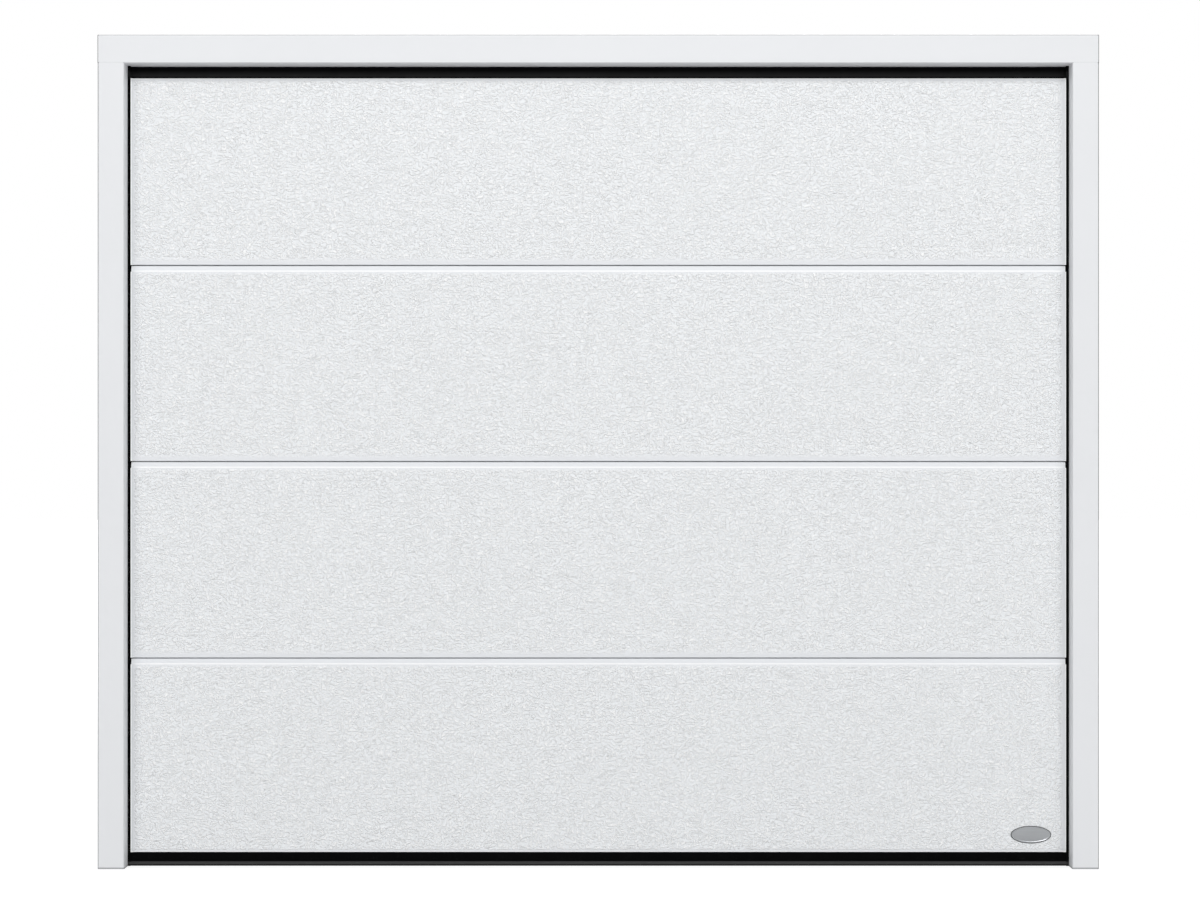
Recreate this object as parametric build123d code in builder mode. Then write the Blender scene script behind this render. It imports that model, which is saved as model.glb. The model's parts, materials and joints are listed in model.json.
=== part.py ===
from build123d import *
import os

# Shut sectional garage door with its frame and running gear, in millimetres.
# X runs to the right seen from outside, Y into the garage, Z up.
# The origin is at the middle of the lintel's flat top face, which is fixed under the wall's lintel.

# Frame of steel box tube
clear_width = 2500.0
clear_height = 2125.0
jamb_face = 70.0
lintel_face = 75.0
frame_depth = 90.0
frame_wall = 2.0
frame_inner_corner = 1.0

# Anchor holes for fixing the frame in the opening, covered by the seals
anchor_hole_radius = 5.5
anchor_from_front = 65.0
jamb_anchor_heights = (150.0, 800.0, 1450.0, 2000.0)
lintel_anchor_offsets = (400.0, 1100.0)

# Leaf of four sections, counted from the floor
leaf_thickness = 40.0
leaf_recess = 5.0
side_gap = 8.0
top_gap = 33.0
bottom_gap = 37.0
lower_section_heights = (515.0, 522.0, 521.0)

# Finger-safe joint between two sections
joint_gap = 3.0
lean_height = 15.0
lean_depth = 2.5
lower_edge_radius = 1.5
tongue_radius = 8.0

# Steel caps on the ends of the sections
cap_thickness = 1.5
cap_lip_thickness = 1.0
cap_lip_width = 6.0
cap_flange_width = 70.0
cap_notch_depth = 12.0

# Rubber seals and the rail that carries the bottom one
seal_clearance = 0.3
seal_sheet = 3.0
side_seal_depth = 43.0
side_seal_lips = 3
top_seal_setback = 15.0
top_seal_foot = 25.0
top_seal_bulb_radius = 5.0
bottom_rail_height = 11.0
bottom_bulb_height = 15.0
bottom_bulb_corner = 6.0

# Hinges between the sections
hinge_width = 60.0
hinge_reach = 62.0
hinge_sheet = 2.5
hinge_bend = 20.0
knuckle_radius = 7.0
centre_knuckle = 26.0
knuckle_gap = 1.0
pin_radius = 4.0
pin_head_radius = 5.5
pin_head = 1.5
fit = 0.1
middle_hinge_spacing = 830.0

# Rollers, their axles and the brackets that hold them
roller_radius = 23.0
roller_width = 14.0
roller_edge = 2.5
roller_hub_radius = 10.0
roller_recess = 3.0
roller_rim = 6.0
axle_radius = 5.5
axle_collar_radius = 8.0
axle_collar = 3.0
axle_tail = 4.0
holder_radius = 9.0
holder_rise = 32.0
bracket_height = 76.0
bottom_roller_rise = 78.0
bottom_bracket_height = 112.0
cable_pin_radius = 6.0
cable_pin_rise = 30.0
bracket_foot = 6.0

# Tracks of rolled steel, one profile all the way
roller_clearance = 0.8
track_wall = 2.0
track_depth = 32.0
track_lip = 10.0
track_inner_bend = 1.2
track_from_opening = 20.0
track_from_frame = 8.0
curve_radius = 330.0
upper_rail_drop = 53.0
rail_gap = 8.0
rail_length = 2330.0

# Plates and brackets that hold the tracks
plate_thickness = 3.0
bracket_flange = 40.0
track_bracket_height = 60.0
track_bracket_count = 3
track_bracket_first = 120.0
track_bracket_from_flag = 140.0
flag_overlap = 80.0
flag_back = 240.0
flag_rise = 40.0
flag_slot_pitch = 75.0
rear_plate_overlap = 95.0
rear_plate_margin = 12.0
plate_slot_length = 22.0
plate_slot_width = 8.5

# Perforated angles that hang the rails from the ceiling
ceiling_gap = 150.0
hanger_leg = 30.0
hanger_sheet = 2.5
rear_hanger_from_end = 58.0
hanger_slot_length = 20.0
hanger_slot_width = 8.0
hanger_slot_pitch = 45.0
hanger_foot_width = 60.0
hanger_foot_length = 70.0
hanger_hole_radius = 4.5
hanger_hole_spacing = 36.0

# Crossbar between the rear ends of the rails
crossbar_height = 80.0
crossbar_depth = 30.0
crossbar_wall = 2.5
crossbar_gap = 10.0
crossbar_drop = 12.0
crossbar_bolt_spacing = 40.0
crossbar_slot_pitch = 200.0
crossbar_slot_length = 32.0
crossbar_slot_width = 11.0

# Lifting cables and pulleys
cable_radius = 1.5
cable_from_opening = 8.0
cable_from_roller = 19.5
cable_eye_radius = 11.0
cable_eye_width = 6.0
ferrule_radius = 3.5
ferrule_length = 28.0
pulley_pitch_radius = 25.0
pulley_flange = 4.0
pulley_width = 12.0
pulley_bolt_radius = 6.0
pulley_above_rail = 20.0

# Torsion shaft with drums, springs and bearings
shaft_radius = 12.7
keyway_width = 6.35
keyway_depth = 3.0
shaft_behind_crossbar = 65.0
shaft_overhang = 8.0
bearing_radius = 24.0
bearing_length = 10.0
drum_pitch_radius = 50.0
drum_width = 40.0
drum_flange = 4.5
drum_hub_radius = 22.0
drum_hub = 12.0
drum_rim = 3.0
spring_radius = 28.0
spring_wire = 6.0
spring_length = 630.0
cone_flange_radius = 33.0
cone_flange = 7.0
cone_grip = 42.0
winding_collar = 48.0
winding_collar_radius = 31.0
winding_bar_radius = 6.5
centre_plate = 6.0
centre_foot_width = 80.0

# Levels and places worked out from the sizes above
floor = -(clear_height + lintel_face)
head = -lintel_face
half_clear = clear_width / 2
half_width = half_clear + jamb_face
frame_back = frame_depth / 2
frame_outer_corner = frame_inner_corner + frame_wall
anchor_y = anchor_from_front - frame_depth / 2

leaf_back = frame_back - leaf_recess
leaf_front = leaf_back - leaf_thickness
half_leaf = half_clear - side_gap
half_section = half_leaf - cap_thickness
leaf_bottom = floor + bottom_gap
leaf_top = head - top_gap
joint_levels = [leaf_bottom + sum(lower_section_heights[: i + 1]) for i in range(len(lower_section_heights))]
tongue_y = leaf_front + leaf_thickness / 2

cap_back = leaf_back + cap_thickness
pin_y = cap_back + 0.5 + knuckle_radius
side_hinge_x = half_leaf - cap_flange_width / 2

track_width = 2 * (roller_radius + roller_clearance + track_wall)
track_inside = half_clear + track_from_opening
track_outside = track_inside + track_depth
track_front = frame_back + track_from_frame
roller_x = track_inside + track_depth / 2
roller_y = track_front + track_width / 2
upper_rail_z = head - upper_rail_drop
lower_rail_z = upper_rail_z - track_width - rail_gap
curve_y = roller_y + curve_radius
curve_z = lower_rail_z - curve_radius
rail_back = track_front + rail_length

holder_levels = [leaf_bottom + bottom_roller_rise]
holder_levels += [level + holder_rise for level in joint_levels]
holder_levels += [upper_rail_z]

cable_x = half_clear + cable_from_opening
cable_y = roller_y - cable_from_roller
cable_pin_z = leaf_bottom + cable_pin_rise
pulley_y = cable_y + pulley_pitch_radius
pulley_z = upper_rail_z + track_width / 2 + pulley_above_rail
cable_level = pulley_z + pulley_pitch_radius

crossbar_front = rail_back + crossbar_gap
crossbar_back = crossbar_front + crossbar_depth
crossbar_top = upper_rail_z + crossbar_drop
crossbar_bolt_places = [
    ((crossbar_front + crossbar_back) / 2, crossbar_top - crossbar_height / 2 + rise)
    for rise in (-crossbar_bolt_spacing / 2, crossbar_bolt_spacing / 2)
]
shaft_y = crossbar_back + shaft_behind_crossbar
shaft_z = cable_level - drum_pitch_radius
plate_outside = track_outside + plate_thickness
shaft_axis = Axis((0, shaft_y, shaft_z), (1, 0, 0))

flag_low = curve_z - flag_overlap
rear_hanger_y = rail_back - rear_hanger_from_end
middle_hanger_y = (track_front + rear_hanger_y) / 2


def rectangle_between(low, high, mode=Mode.ADD):
    # a rectangle in the current sketch, given by two opposite corners
    middle = ((low[0] + high[0]) / 2, (low[1] + high[1]) / 2)
    with Locations(middle):
        Rectangle(abs(high[0] - low[0]), abs(high[1] - low[1]), mode=mode)


def block(low, high):
    # a plain block of the current part, given by two opposite corners
    middle = tuple((a + b) / 2 for a, b in zip(low, high))
    with Locations(middle):
        Box(*[b - a for a, b in zip(low, high)])


def mirrored(piece):
    # the left-hand copy of a right-hand piece
    with BuildPart() as copy:
        mirror(piece, about=Plane.YZ)
    return copy.part


def save(piece, name):
    piece.label = name
    export_step(piece, f"parts/{name}.step")


# Frame

def make_jamb():
    with BuildPart() as jamb:
        with BuildSketch(Plane.XY.offset(floor)):
            with Locations((half_clear + jamb_face / 2, 0)):
                RectangleRounded(jamb_face, frame_depth, frame_outer_corner)
                RectangleRounded(
                    jamb_face - 2 * frame_wall,
                    frame_depth - 2 * frame_wall,
                    frame_inner_corner,
                    mode=Mode.SUBTRACT,
                )
        extrude(amount=clear_height)
        with BuildSketch(Plane.YZ.offset(half_clear)):
            with Locations([(anchor_y, floor + height) for height in jamb_anchor_heights]):
                Circle(anchor_hole_radius)
        extrude(amount=jamb_face, mode=Mode.SUBTRACT)
    return jamb.part


def make_lintel():
    with BuildPart() as lintel:
        with BuildSketch(Plane.YZ.offset(-half_width)):
            with Locations((0, -lintel_face / 2)):
                RectangleRounded(frame_depth, lintel_face, frame_outer_corner)
        extrude(amount=2 * half_width)
        # the tube's ends are closed by welded plates
        with BuildSketch(Plane.YZ.offset(-half_width + frame_wall)):
            with Locations((0, -lintel_face / 2)):
                RectangleRounded(frame_depth - 2 * frame_wall, lintel_face - 2 * frame_wall, frame_inner_corner)
        extrude(amount=2 * (half_width - frame_wall), mode=Mode.SUBTRACT)
        with BuildSketch(Plane.XY.offset(-lintel_face)):
            with Locations([(side * x, anchor_y) for x in lintel_anchor_offsets for side in (-1, 1)]):
                Circle(anchor_hole_radius)
        extrude(amount=lintel_face, mode=Mode.SUBTRACT)
    return lintel.part


# Seals

def make_side_seal():
    tip = half_leaf + seal_clearance
    base = half_clear - seal_sheet
    pitch = (side_seal_depth - seal_sheet) / side_seal_lips
    with BuildPart() as side_seal:
        with BuildSketch(Plane.XY.offset(floor)):
            rectangle_between((base, leaf_front), (half_clear, leaf_front + side_seal_depth))
            # lips that wipe the leaf's end, the first one level with its face
            for i in range(side_seal_lips):
                y = leaf_front + i * pitch
                with BuildLine():
                    Polyline(
                        (base, y), (tip, y), (tip, y + seal_sheet / 2),
                        (base, y + 1.5 * seal_sheet), close=True,
                    )
                make_face()
        extrude(amount=clear_height)
    return side_seal.part


def make_top_seal():
    front = leaf_front + top_seal_setback
    bulb = (front + top_seal_bulb_radius, leaf_top + seal_clearance + top_seal_bulb_radius)
    with BuildPart() as top_seal:
        with BuildSketch(Plane.YZ.offset(-half_leaf)):
            rectangle_between((front, head - seal_sheet), (front + top_seal_foot, head))
            rectangle_between((front, bulb[1]), (front + seal_sheet, head))
            with Locations(bulb):
                Circle(top_seal_bulb_radius)
                Circle(top_seal_bulb_radius - seal_sheet / 2, mode=Mode.SUBTRACT)
        extrude(amount=2 * half_leaf)
    return top_seal.part


def make_bottom_rail():
    # an aluminium channel screwed under the lowest section, its flanges down in the rubber
    low = leaf_bottom - bottom_rail_height
    with BuildPart() as bottom_rail:
        with BuildSketch(Plane.YZ.offset(-half_leaf)):
            rectangle_between((leaf_front + seal_sheet, low), (leaf_back - seal_sheet, leaf_bottom))
            rectangle_between(
                (leaf_front + 2 * seal_sheet, low),
                (leaf_back - 2 * seal_sheet, leaf_bottom - seal_sheet),
                mode=Mode.SUBTRACT,
            )
        extrude(amount=2 * half_leaf)
    return bottom_rail.part


def make_bottom_seal():
    # aprons before and behind the rail, and a hollow bulb that meets the floor
    web = leaf_bottom - bottom_rail_height
    bulb_top = floor + bottom_bulb_height
    with BuildPart() as bottom_seal:
        with BuildSketch(Plane.YZ.offset(-half_leaf)):
            rectangle_between((leaf_front, bulb_top - seal_sheet), (leaf_back, leaf_bottom))
            rectangle_between(
                (leaf_front + seal_sheet, web), (leaf_back - seal_sheet, leaf_bottom), mode=Mode.SUBTRACT
            )
            rectangle_between(
                (leaf_front + seal_sheet, bulb_top - seal_sheet),
                (leaf_back - seal_sheet, web - seal_sheet),
                mode=Mode.SUBTRACT,
            )
            with Locations(((leaf_front + leaf_back) / 2, floor + bottom_bulb_height / 2)):
                RectangleRounded(leaf_thickness + 2, bottom_bulb_height, bottom_bulb_corner)
                RectangleRounded(
                    leaf_thickness + 2 - 2 * seal_sheet,
                    bottom_bulb_height - 2 * seal_sheet,
                    bottom_bulb_corner - seal_sheet,
                    mode=Mode.SUBTRACT,
                )
        extrude(amount=2 * half_leaf)
    return bottom_seal.part


# Leaf

def make_section(low, high, grooved, tongued):
    top = high - joint_gap / 2 if tongued else high
    bottom = low + joint_gap / 2 if grooved else low
    with BuildPart() as section:
        with BuildSketch(Plane.YZ.offset(-half_section)) as outline:
            with BuildLine():
                if tongued:
                    # the top of the face leans back behind the section above
                    Polyline(
                        (leaf_front, bottom),
                        (leaf_front, top - lean_height),
                        (leaf_front + lean_depth, top),
                        (leaf_back, top),
                        (leaf_back, bottom),
                        close=True,
                    )
                else:
                    Polyline(
                        (leaf_front, bottom), (leaf_front, top),
                        (leaf_back, top), (leaf_back, bottom), close=True,
                    )
            make_face()
            fillet(outline.vertices().group_by(Axis.Z)[0], radius=lower_edge_radius)
            if tongued:
                with Locations((tongue_y, top)):
                    Circle(tongue_radius)
            if grooved:
                with Locations((tongue_y, bottom - joint_gap)):
                    Circle(tongue_radius + joint_gap, mode=Mode.SUBTRACT)
        extrude(amount=2 * half_section)
    return section.part


def section_limits():
    levels = [leaf_bottom] + joint_levels + [leaf_top]
    return list(zip(levels[:-1], levels[1:]))


def make_end_caps():
    # each cap closes the right-hand end of one section, with a lip on its face and a flange on its back
    limits = section_limits()
    lip_front = leaf_front - cap_lip_thickness
    with BuildPart() as end_caps:
        for i, (low, high) in enumerate(limits):
            bottom = low + joint_gap / 2 if i > 0 else low
            corners = [(leaf_front, high), (cap_back, high)]
            lip_top = top = high
            if i < len(limits) - 1:
                top = high - joint_gap / 2
                lip_top = top - lean_height
                # the front corner is notched beside the band that leans back
                notch = leaf_front + cap_notch_depth
                corners = [(leaf_front, lip_top), (notch, lip_top), (notch, top), (cap_back, top)]
            with BuildSketch(Plane.YZ.offset(half_section)):
                with BuildLine():
                    Polyline((leaf_front, bottom), *corners, (cap_back, bottom), close=True)
                make_face()
            extrude(amount=cap_thickness)
            block((half_leaf - cap_lip_width, lip_front, bottom), (half_leaf, leaf_front, lip_top))
            block((half_leaf - cap_flange_width, leaf_back, bottom), (half_leaf, cap_back, top))
    return end_caps.part


# Hinges

def hinge_leaf(x, seat, level, way):
    # a pressed leaf with a plate on the section and a strap up to the pin, way -1 below or +1 above
    def at(y, rise):
        return (y, level + way * rise)

    ring_front = pin_y - knuckle_radius
    if way < 0:
        width = (hinge_width - centre_knuckle) / 2 - knuckle_gap
        starts = (x - hinge_width / 2, x + hinge_width / 2 - width)
    else:
        width = centre_knuckle
        starts = (x - centre_knuckle / 2,)
    with BuildPart() as leaf:
        with BuildSketch(Plane.YZ.offset(x - hinge_width / 2)):
            rectangle_between(at(seat, hinge_bend), at(seat + hinge_sheet, hinge_reach))
        extrude(amount=hinge_width)
        for start in starts:
            with BuildSketch(Plane.YZ.offset(start)):
                with BuildLine():
                    Polyline(
                        at(seat, hinge_bend + 1),
                        at(seat + hinge_sheet, hinge_bend + 1),
                        at(ring_front + hinge_sheet, knuckle_radius),
                        at(ring_front + hinge_sheet, 0),
                        at(ring_front, 0),
                        at(ring_front, knuckle_radius),
                        close=True,
                    )
                make_face()
                with Locations((pin_y, level)):
                    Circle(knuckle_radius)
                    Circle(pin_radius + fit, mode=Mode.SUBTRACT)
            extrude(amount=width)
    return leaf.part


def hinge_columns():
    # middle of each hinge and the y of the face that it is screwed to
    columns = [(-side_hinge_x, cap_back), (side_hinge_x, cap_back)]
    return columns + [(-middle_hinge_spacing / 2, leaf_back), (middle_hinge_spacing / 2, leaf_back)]


def make_hinge_lower_leaves():
    leaves = [hinge_leaf(x, seat, level, -1) for x, seat in hinge_columns() for level in joint_levels]
    with BuildPart() as lower_leaves:
        add(leaves)
    return lower_leaves.part


def make_hinge_upper_leaves():
    columns = (-middle_hinge_spacing / 2, middle_hinge_spacing / 2)
    leaves = [hinge_leaf(x, leaf_back, level, 1) for x in columns for level in joint_levels]
    with BuildPart() as upper_leaves:
        add(leaves)
    return upper_leaves.part


def make_hinge_pins():
    with BuildPart() as pins:
        for x, seat in hinge_columns():
            for level in joint_levels:
                with BuildSketch(Plane.YZ.offset(x - hinge_width / 2)):
                    with Locations((pin_y, level)):
                        Circle(pin_radius)
                extrude(amount=hinge_width)
                with BuildSketch(
                    Plane.YZ.offset(x - hinge_width / 2), Plane.YZ.offset(x + hinge_width / 2 + pin_head)
                ):
                    with Locations((pin_y, level)):
                        Circle(pin_head_radius)
                extrude(amount=-pin_head)
    return pins.part


# Roller holders

def roller_holder(low, high, axle_level):
    # a plate on the cap's flange with two cheeks that carry a tube for the axle
    start = side_hinge_x - hinge_width / 2
    with BuildPart() as holder:
        block((start, cap_back, low), (start + hinge_width, cap_back + hinge_sheet, high))
        with BuildSketch(Plane.YZ.offset(start), Plane.YZ.offset(start + hinge_width - hinge_sheet)):
            with BuildLine():
                Polyline(
                    (cap_back, low),
                    (roller_y, axle_level - holder_radius),
                    (roller_y, axle_level + holder_radius),
                    (cap_back, high),
                    close=True,
                )
            make_face()
        extrude(amount=hinge_sheet)
        with BuildSketch(Plane.YZ.offset(start)):
            with Locations((roller_y, axle_level)):
                Circle(holder_radius)
        extrude(amount=hinge_width)
        with BuildSketch(Plane.YZ.offset(start)):
            with Locations((roller_y, axle_level)):
                Circle(axle_radius + fit)
        extrude(amount=hinge_width, mode=Mode.SUBTRACT)
    return holder.part


def make_roller_carriers():
    # the upper leaves of the right-hand end hinges, which also carry the rollers
    leaves = [hinge_leaf(side_hinge_x, cap_back, level, 1) for level in joint_levels]
    holders = [
        roller_holder(level + hinge_bend, level + bracket_height, level + holder_rise) for level in joint_levels
    ]
    with BuildPart() as carriers:
        add(leaves)
        add(holders)
    return carriers.part


def make_bottom_bracket():
    holder = roller_holder(
        leaf_bottom + bracket_foot, leaf_bottom + bottom_bracket_height, leaf_bottom + bottom_roller_rise
    )
    cheek = side_hinge_x + hinge_width / 2 - hinge_sheet
    pin_end = cable_x + cable_eye_width / 2 + fit
    with BuildPart() as bottom_bracket:
        add(holder)
        # headed pin for the lifting cable's eye
        with BuildSketch(Plane.YZ.offset(cheek)):
            with Locations((cable_y, cable_pin_z)):
                Circle(cable_pin_radius)
        extrude(amount=pin_end - cheek)
        with BuildSketch(Plane.YZ.offset(pin_end)):
            with Locations((cable_y, cable_pin_z)):
                Circle(cable_pin_radius + pin_head)
        extrude(amount=pin_head)
    return bottom_bracket.part


def make_top_bracket():
    top = leaf_top - bracket_foot
    holder = roller_holder(top - bracket_height, top, upper_rail_z)
    with BuildPart() as top_bracket:
        add(holder)
    return top_bracket.part


def make_rollers():
    half = roller_width / 2
    with BuildPart() as rollers:
        for level in holder_levels:
            # profile across the roller, with its axis along X
            with BuildSketch(Plane.XY.offset(level)) as profile:
                with BuildLine():
                    Polyline(
                        (roller_x - half, roller_y + axle_radius + fit),
                        (roller_x - half, roller_y + roller_hub_radius),
                        (roller_x - half + roller_recess, roller_y + roller_hub_radius),
                        (roller_x - half + roller_recess, roller_y + roller_radius - roller_rim),
                        (roller_x - half, roller_y + roller_radius - roller_rim),
                        (roller_x - half, roller_y + roller_radius - roller_edge),
                        (roller_x - half + roller_edge, roller_y + roller_radius),
                        (roller_x + half - roller_edge, roller_y + roller_radius),
                        (roller_x + half, roller_y + roller_radius - roller_edge),
                        (roller_x + half, roller_y + axle_radius + fit),
                        close=True,
                    )
                make_face()
            revolve(axis=Axis((0, roller_y, level), (1, 0, 0)))
    return rollers.part


def make_roller_axles():
    start = side_hinge_x - hinge_width / 2 - axle_tail
    collar = roller_x - roller_width / 2 - fit
    end = roller_x + roller_width / 2
    with BuildPart() as axles:
        for level in holder_levels:
            for at, radius, length in (
                (start, axle_radius, end + fit - start),
                (collar, axle_collar_radius, -axle_collar),
                (end + fit, axle_collar_radius, axle_collar / 2),
            ):
                with BuildSketch(Plane.YZ.offset(at)):
                    with Locations((roller_y, level)):
                        Circle(radius)
                extrude(amount=length)
    return axles.part


# Tracks

def cut_rectangle(width, height, bend, mode=Mode.ADD):
    # a rectangle with its corners cut off where the sheet bends, in the current sketch
    cut = bend * (2 - 2 ** 0.5)
    x, y = width / 2, height / 2
    quarter = ((x, y - cut), (x - cut, y))
    Polygon(
        *quarter,
        *[(-px, py) for px, py in reversed(quarter)],
        *[(-px, -py) for px, py in quarter],
        *[(px, -py) for px, py in reversed(quarter)],
        mode=mode,
    )


def track_section(centre):
    # the rolled C profile in the current sketch, open towards the leaf
    low, high = centre - track_width / 2, centre + track_width / 2
    with Locations((roller_x, centre)):
        cut_rectangle(track_depth, track_width, track_inner_bend + track_wall)
        cut_rectangle(
            track_depth - 2 * track_wall, track_width - 2 * track_wall, track_inner_bend, mode=Mode.SUBTRACT
        )
    rectangle_between(
        (track_inside, low + track_wall + track_lip),
        (track_inside + track_wall, high - track_wall - track_lip),
        mode=Mode.SUBTRACT,
    )


def make_vertical_track():
    with BuildPart() as vertical_track:
        with BuildSketch(Plane.XY.offset(floor)):
            track_section(roller_y)
        extrude(amount=curve_z - floor)
    return vertical_track.part


def make_curved_track():
    with BuildPart() as curved_track:
        with BuildSketch(Plane.XY.offset(curve_z)):
            track_section(roller_y)
        revolve(axis=Axis((0, curve_y, curve_z), (-1, 0, 0)), revolution_arc=90)
    return curved_track.part


def make_rail(start, level):
    with BuildPart() as rail:
        with BuildSketch(Plane.XZ.offset(-start)):
            track_section(level)
        extrude(amount=-(rail_back - start))
    return rail.part


# Plates that hold the tracks

def plate_slots(places):
    # the space of the track bolts' slots through a plate outside the track, at places (y, z)
    with BuildPart() as slots:
        with BuildSketch(Plane.YZ.offset(track_outside)):
            with Locations(places):
                SlotOverall(plate_slot_length, plate_slot_width)
        extrude(amount=plate_thickness)
    return slots.part


def make_track_brackets():
    # angles from the back of the jamb to the outside of the vertical track
    first = floor + track_bracket_first
    last = flag_low - track_bracket_from_flag - track_bracket_height
    step = (last - first) / (track_bracket_count - 1)
    with BuildPart() as track_brackets:
        for i in range(track_bracket_count):
            low = first + i * step
            high = low + track_bracket_height
            block((plate_outside - bracket_flange, frame_back, low), (plate_outside, frame_back + plate_thickness, high))
            block((track_outside, frame_back, low), (plate_outside, track_front + track_width, high))
        middles = [first + i * step + track_bracket_height / 2 for i in range(track_bracket_count)]
        add(plate_slots([(roller_y, middle) for middle in middles]), mode=Mode.SUBTRACT)
    return track_brackets.part


def make_flag_plate():
    low, high = flag_low, pulley_z + flag_rise
    with BuildPart() as flag_plate:
        with BuildSketch(Plane.YZ.offset(track_outside)):
            with BuildLine():
                Polyline(
                    (frame_back, low),
                    (track_front + track_width, low),
                    (track_front + track_width, curve_z),
                    (frame_back + flag_back, lower_rail_z - track_width),
                    (frame_back + flag_back, upper_rail_z + track_width / 2),
                    (pulley_y + flag_rise, high),
                    (frame_back, high),
                    close=True,
                )
            make_face()
        extrude(amount=plate_thickness)
        upright_slots = [(roller_y, curve_z + rise) for rise in (-flag_slot_pitch / 2, flag_slot_pitch / 2)]
        rail_slots = [(roller_y + i * flag_slot_pitch, upper_rail_z) for i in (1, 2)]
        add(plate_slots(upright_slots + rail_slots), mode=Mode.SUBTRACT)
        block((plate_outside - bracket_flange, frame_back, low), (plate_outside, frame_back + plate_thickness, high))
        # bolt that the cable pulley turns on
        start = cable_x - pulley_width / 2 - fit
        with BuildSketch(Plane.YZ.offset(start)):
            with Locations((pulley_y, pulley_z)):
                Circle(pulley_bolt_radius)
        extrude(amount=plate_outside - start)
        with BuildSketch(Plane.YZ.offset(start)):
            with Locations((pulley_y, pulley_z)):
                Circle(pulley_bolt_radius + 3)
        extrude(amount=-3)
    return flag_plate.part


def make_rear_plate():
    low = lower_rail_z - track_width / 2 - rear_plate_margin
    high = shaft_z + bearing_radius + rear_plate_margin
    with BuildPart() as rear_plate:
        with BuildSketch(Plane.YZ.offset(track_outside)) as outline:
            with BuildLine():
                Polyline(
                    (rail_back - rear_plate_overlap, low),
                    (crossbar_back, low),
                    (shaft_y + bearing_radius + rear_plate_margin, shaft_z - bearing_radius),
                    (shaft_y + bearing_radius + rear_plate_margin, high),
                    (rail_back - rear_plate_overlap, high),
                    close=True,
                )
            make_face()
            fillet(outline.vertices(), radius=rear_plate_margin)
        extrude(amount=plate_thickness)
        rail_slots = [(rail_back - plate_slot_length, level) for level in (lower_rail_z, upper_rail_z)]
        add(plate_slots(rail_slots + crossbar_bolt_places), mode=Mode.SUBTRACT)
        with BuildSketch(Plane.YZ.offset(track_outside - bearing_length)):
            with Locations((shaft_y, shaft_z)):
                Circle(bearing_radius)
        extrude(amount=bearing_length)
        with BuildSketch(Plane.YZ.offset(track_outside - bearing_length)):
            with Locations((shaft_y, shaft_z)):
                Circle(shaft_radius + fit)
        extrude(amount=bearing_length + plate_thickness, mode=Mode.SUBTRACT)
    return rear_plate.part


def make_hanger(y, face):
    # a slotted angle standing on the given face, with a foot plate at the ceiling
    low, top = lower_rail_z - track_width / 2, ceiling_gap - plate_thickness
    with BuildPart() as hanger:
        with BuildSketch(Plane.XY.offset(low)):
            rectangle_between((face, y - hanger_leg / 2), (face + hanger_sheet, y + hanger_leg / 2))
            rectangle_between((face, y - hanger_leg / 2), (face + hanger_leg, y - hanger_leg / 2 + hanger_sheet))
        extrude(amount=top - low)
        foot_middle = face + hanger_foot_width / 2
        with BuildSketch(Plane.XY.offset(top)):
            with Locations((foot_middle, y)):
                RectangleRounded(hanger_foot_width, hanger_foot_length, hanger_sheet)
            with Locations(
                (foot_middle + hanger_hole_spacing / 4, y - hanger_hole_spacing / 2),
                (foot_middle + hanger_hole_spacing / 4, y + hanger_hole_spacing / 2),
            ):
                Circle(hanger_hole_radius, mode=Mode.SUBTRACT)
        extrude(amount=plate_thickness)
        slot_start = upper_rail_z + track_width / 2 + hanger_slot_pitch / 2
        slots = int((top - slot_start) // hanger_slot_pitch)
        with BuildSketch(Plane.YZ.offset(face)):
            with Locations([(y + hanger_sheet / 2, slot_start + i * hanger_slot_pitch) for i in range(slots)]):
                SlotOverall(hanger_slot_length, hanger_slot_width, rotation=90)
        extrude(amount=hanger_sheet, mode=Mode.SUBTRACT)
    return hanger.part


def make_rear_crossbar():
    with BuildPart() as crossbar:
        with BuildSketch(Plane.YZ.offset(-track_outside)):
            rectangle_between((crossbar_front, crossbar_top - crossbar_height), (crossbar_back, crossbar_top))
            rectangle_between(
                (crossbar_front, crossbar_top - crossbar_height + crossbar_wall),
                (crossbar_back - crossbar_wall, crossbar_top - crossbar_wall),
                mode=Mode.SUBTRACT,
            )
        extrude(amount=2 * track_outside)
        # tabs bent in at both ends, that bolt to the rear plates
        for start, inward in ((-track_outside, crossbar_wall), (track_outside, -crossbar_wall)):
            with BuildSketch(Plane.YZ.offset(start)):
                rectangle_between(
                    (crossbar_front, crossbar_top - crossbar_height), (crossbar_back, crossbar_top)
                )
                with Locations(crossbar_bolt_places):
                    Circle(plate_slot_width / 2, mode=Mode.SUBTRACT)
            extrude(amount=inward)
        # slots along the web for the plates that bolt to it
        slots = 2 * int((track_outside - centre_foot_width) // crossbar_slot_pitch)
        places = [((i - (slots - 1) / 2) * crossbar_slot_pitch, crossbar_top - crossbar_height / 2) for i in range(slots)]
        with BuildSketch(Plane.XZ.offset(-crossbar_back)):
            with Locations(places):
                SlotOverall(crossbar_slot_length, crossbar_slot_width)
        extrude(amount=crossbar_wall, mode=Mode.SUBTRACT)
    return crossbar.part


# Lifting gear

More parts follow.
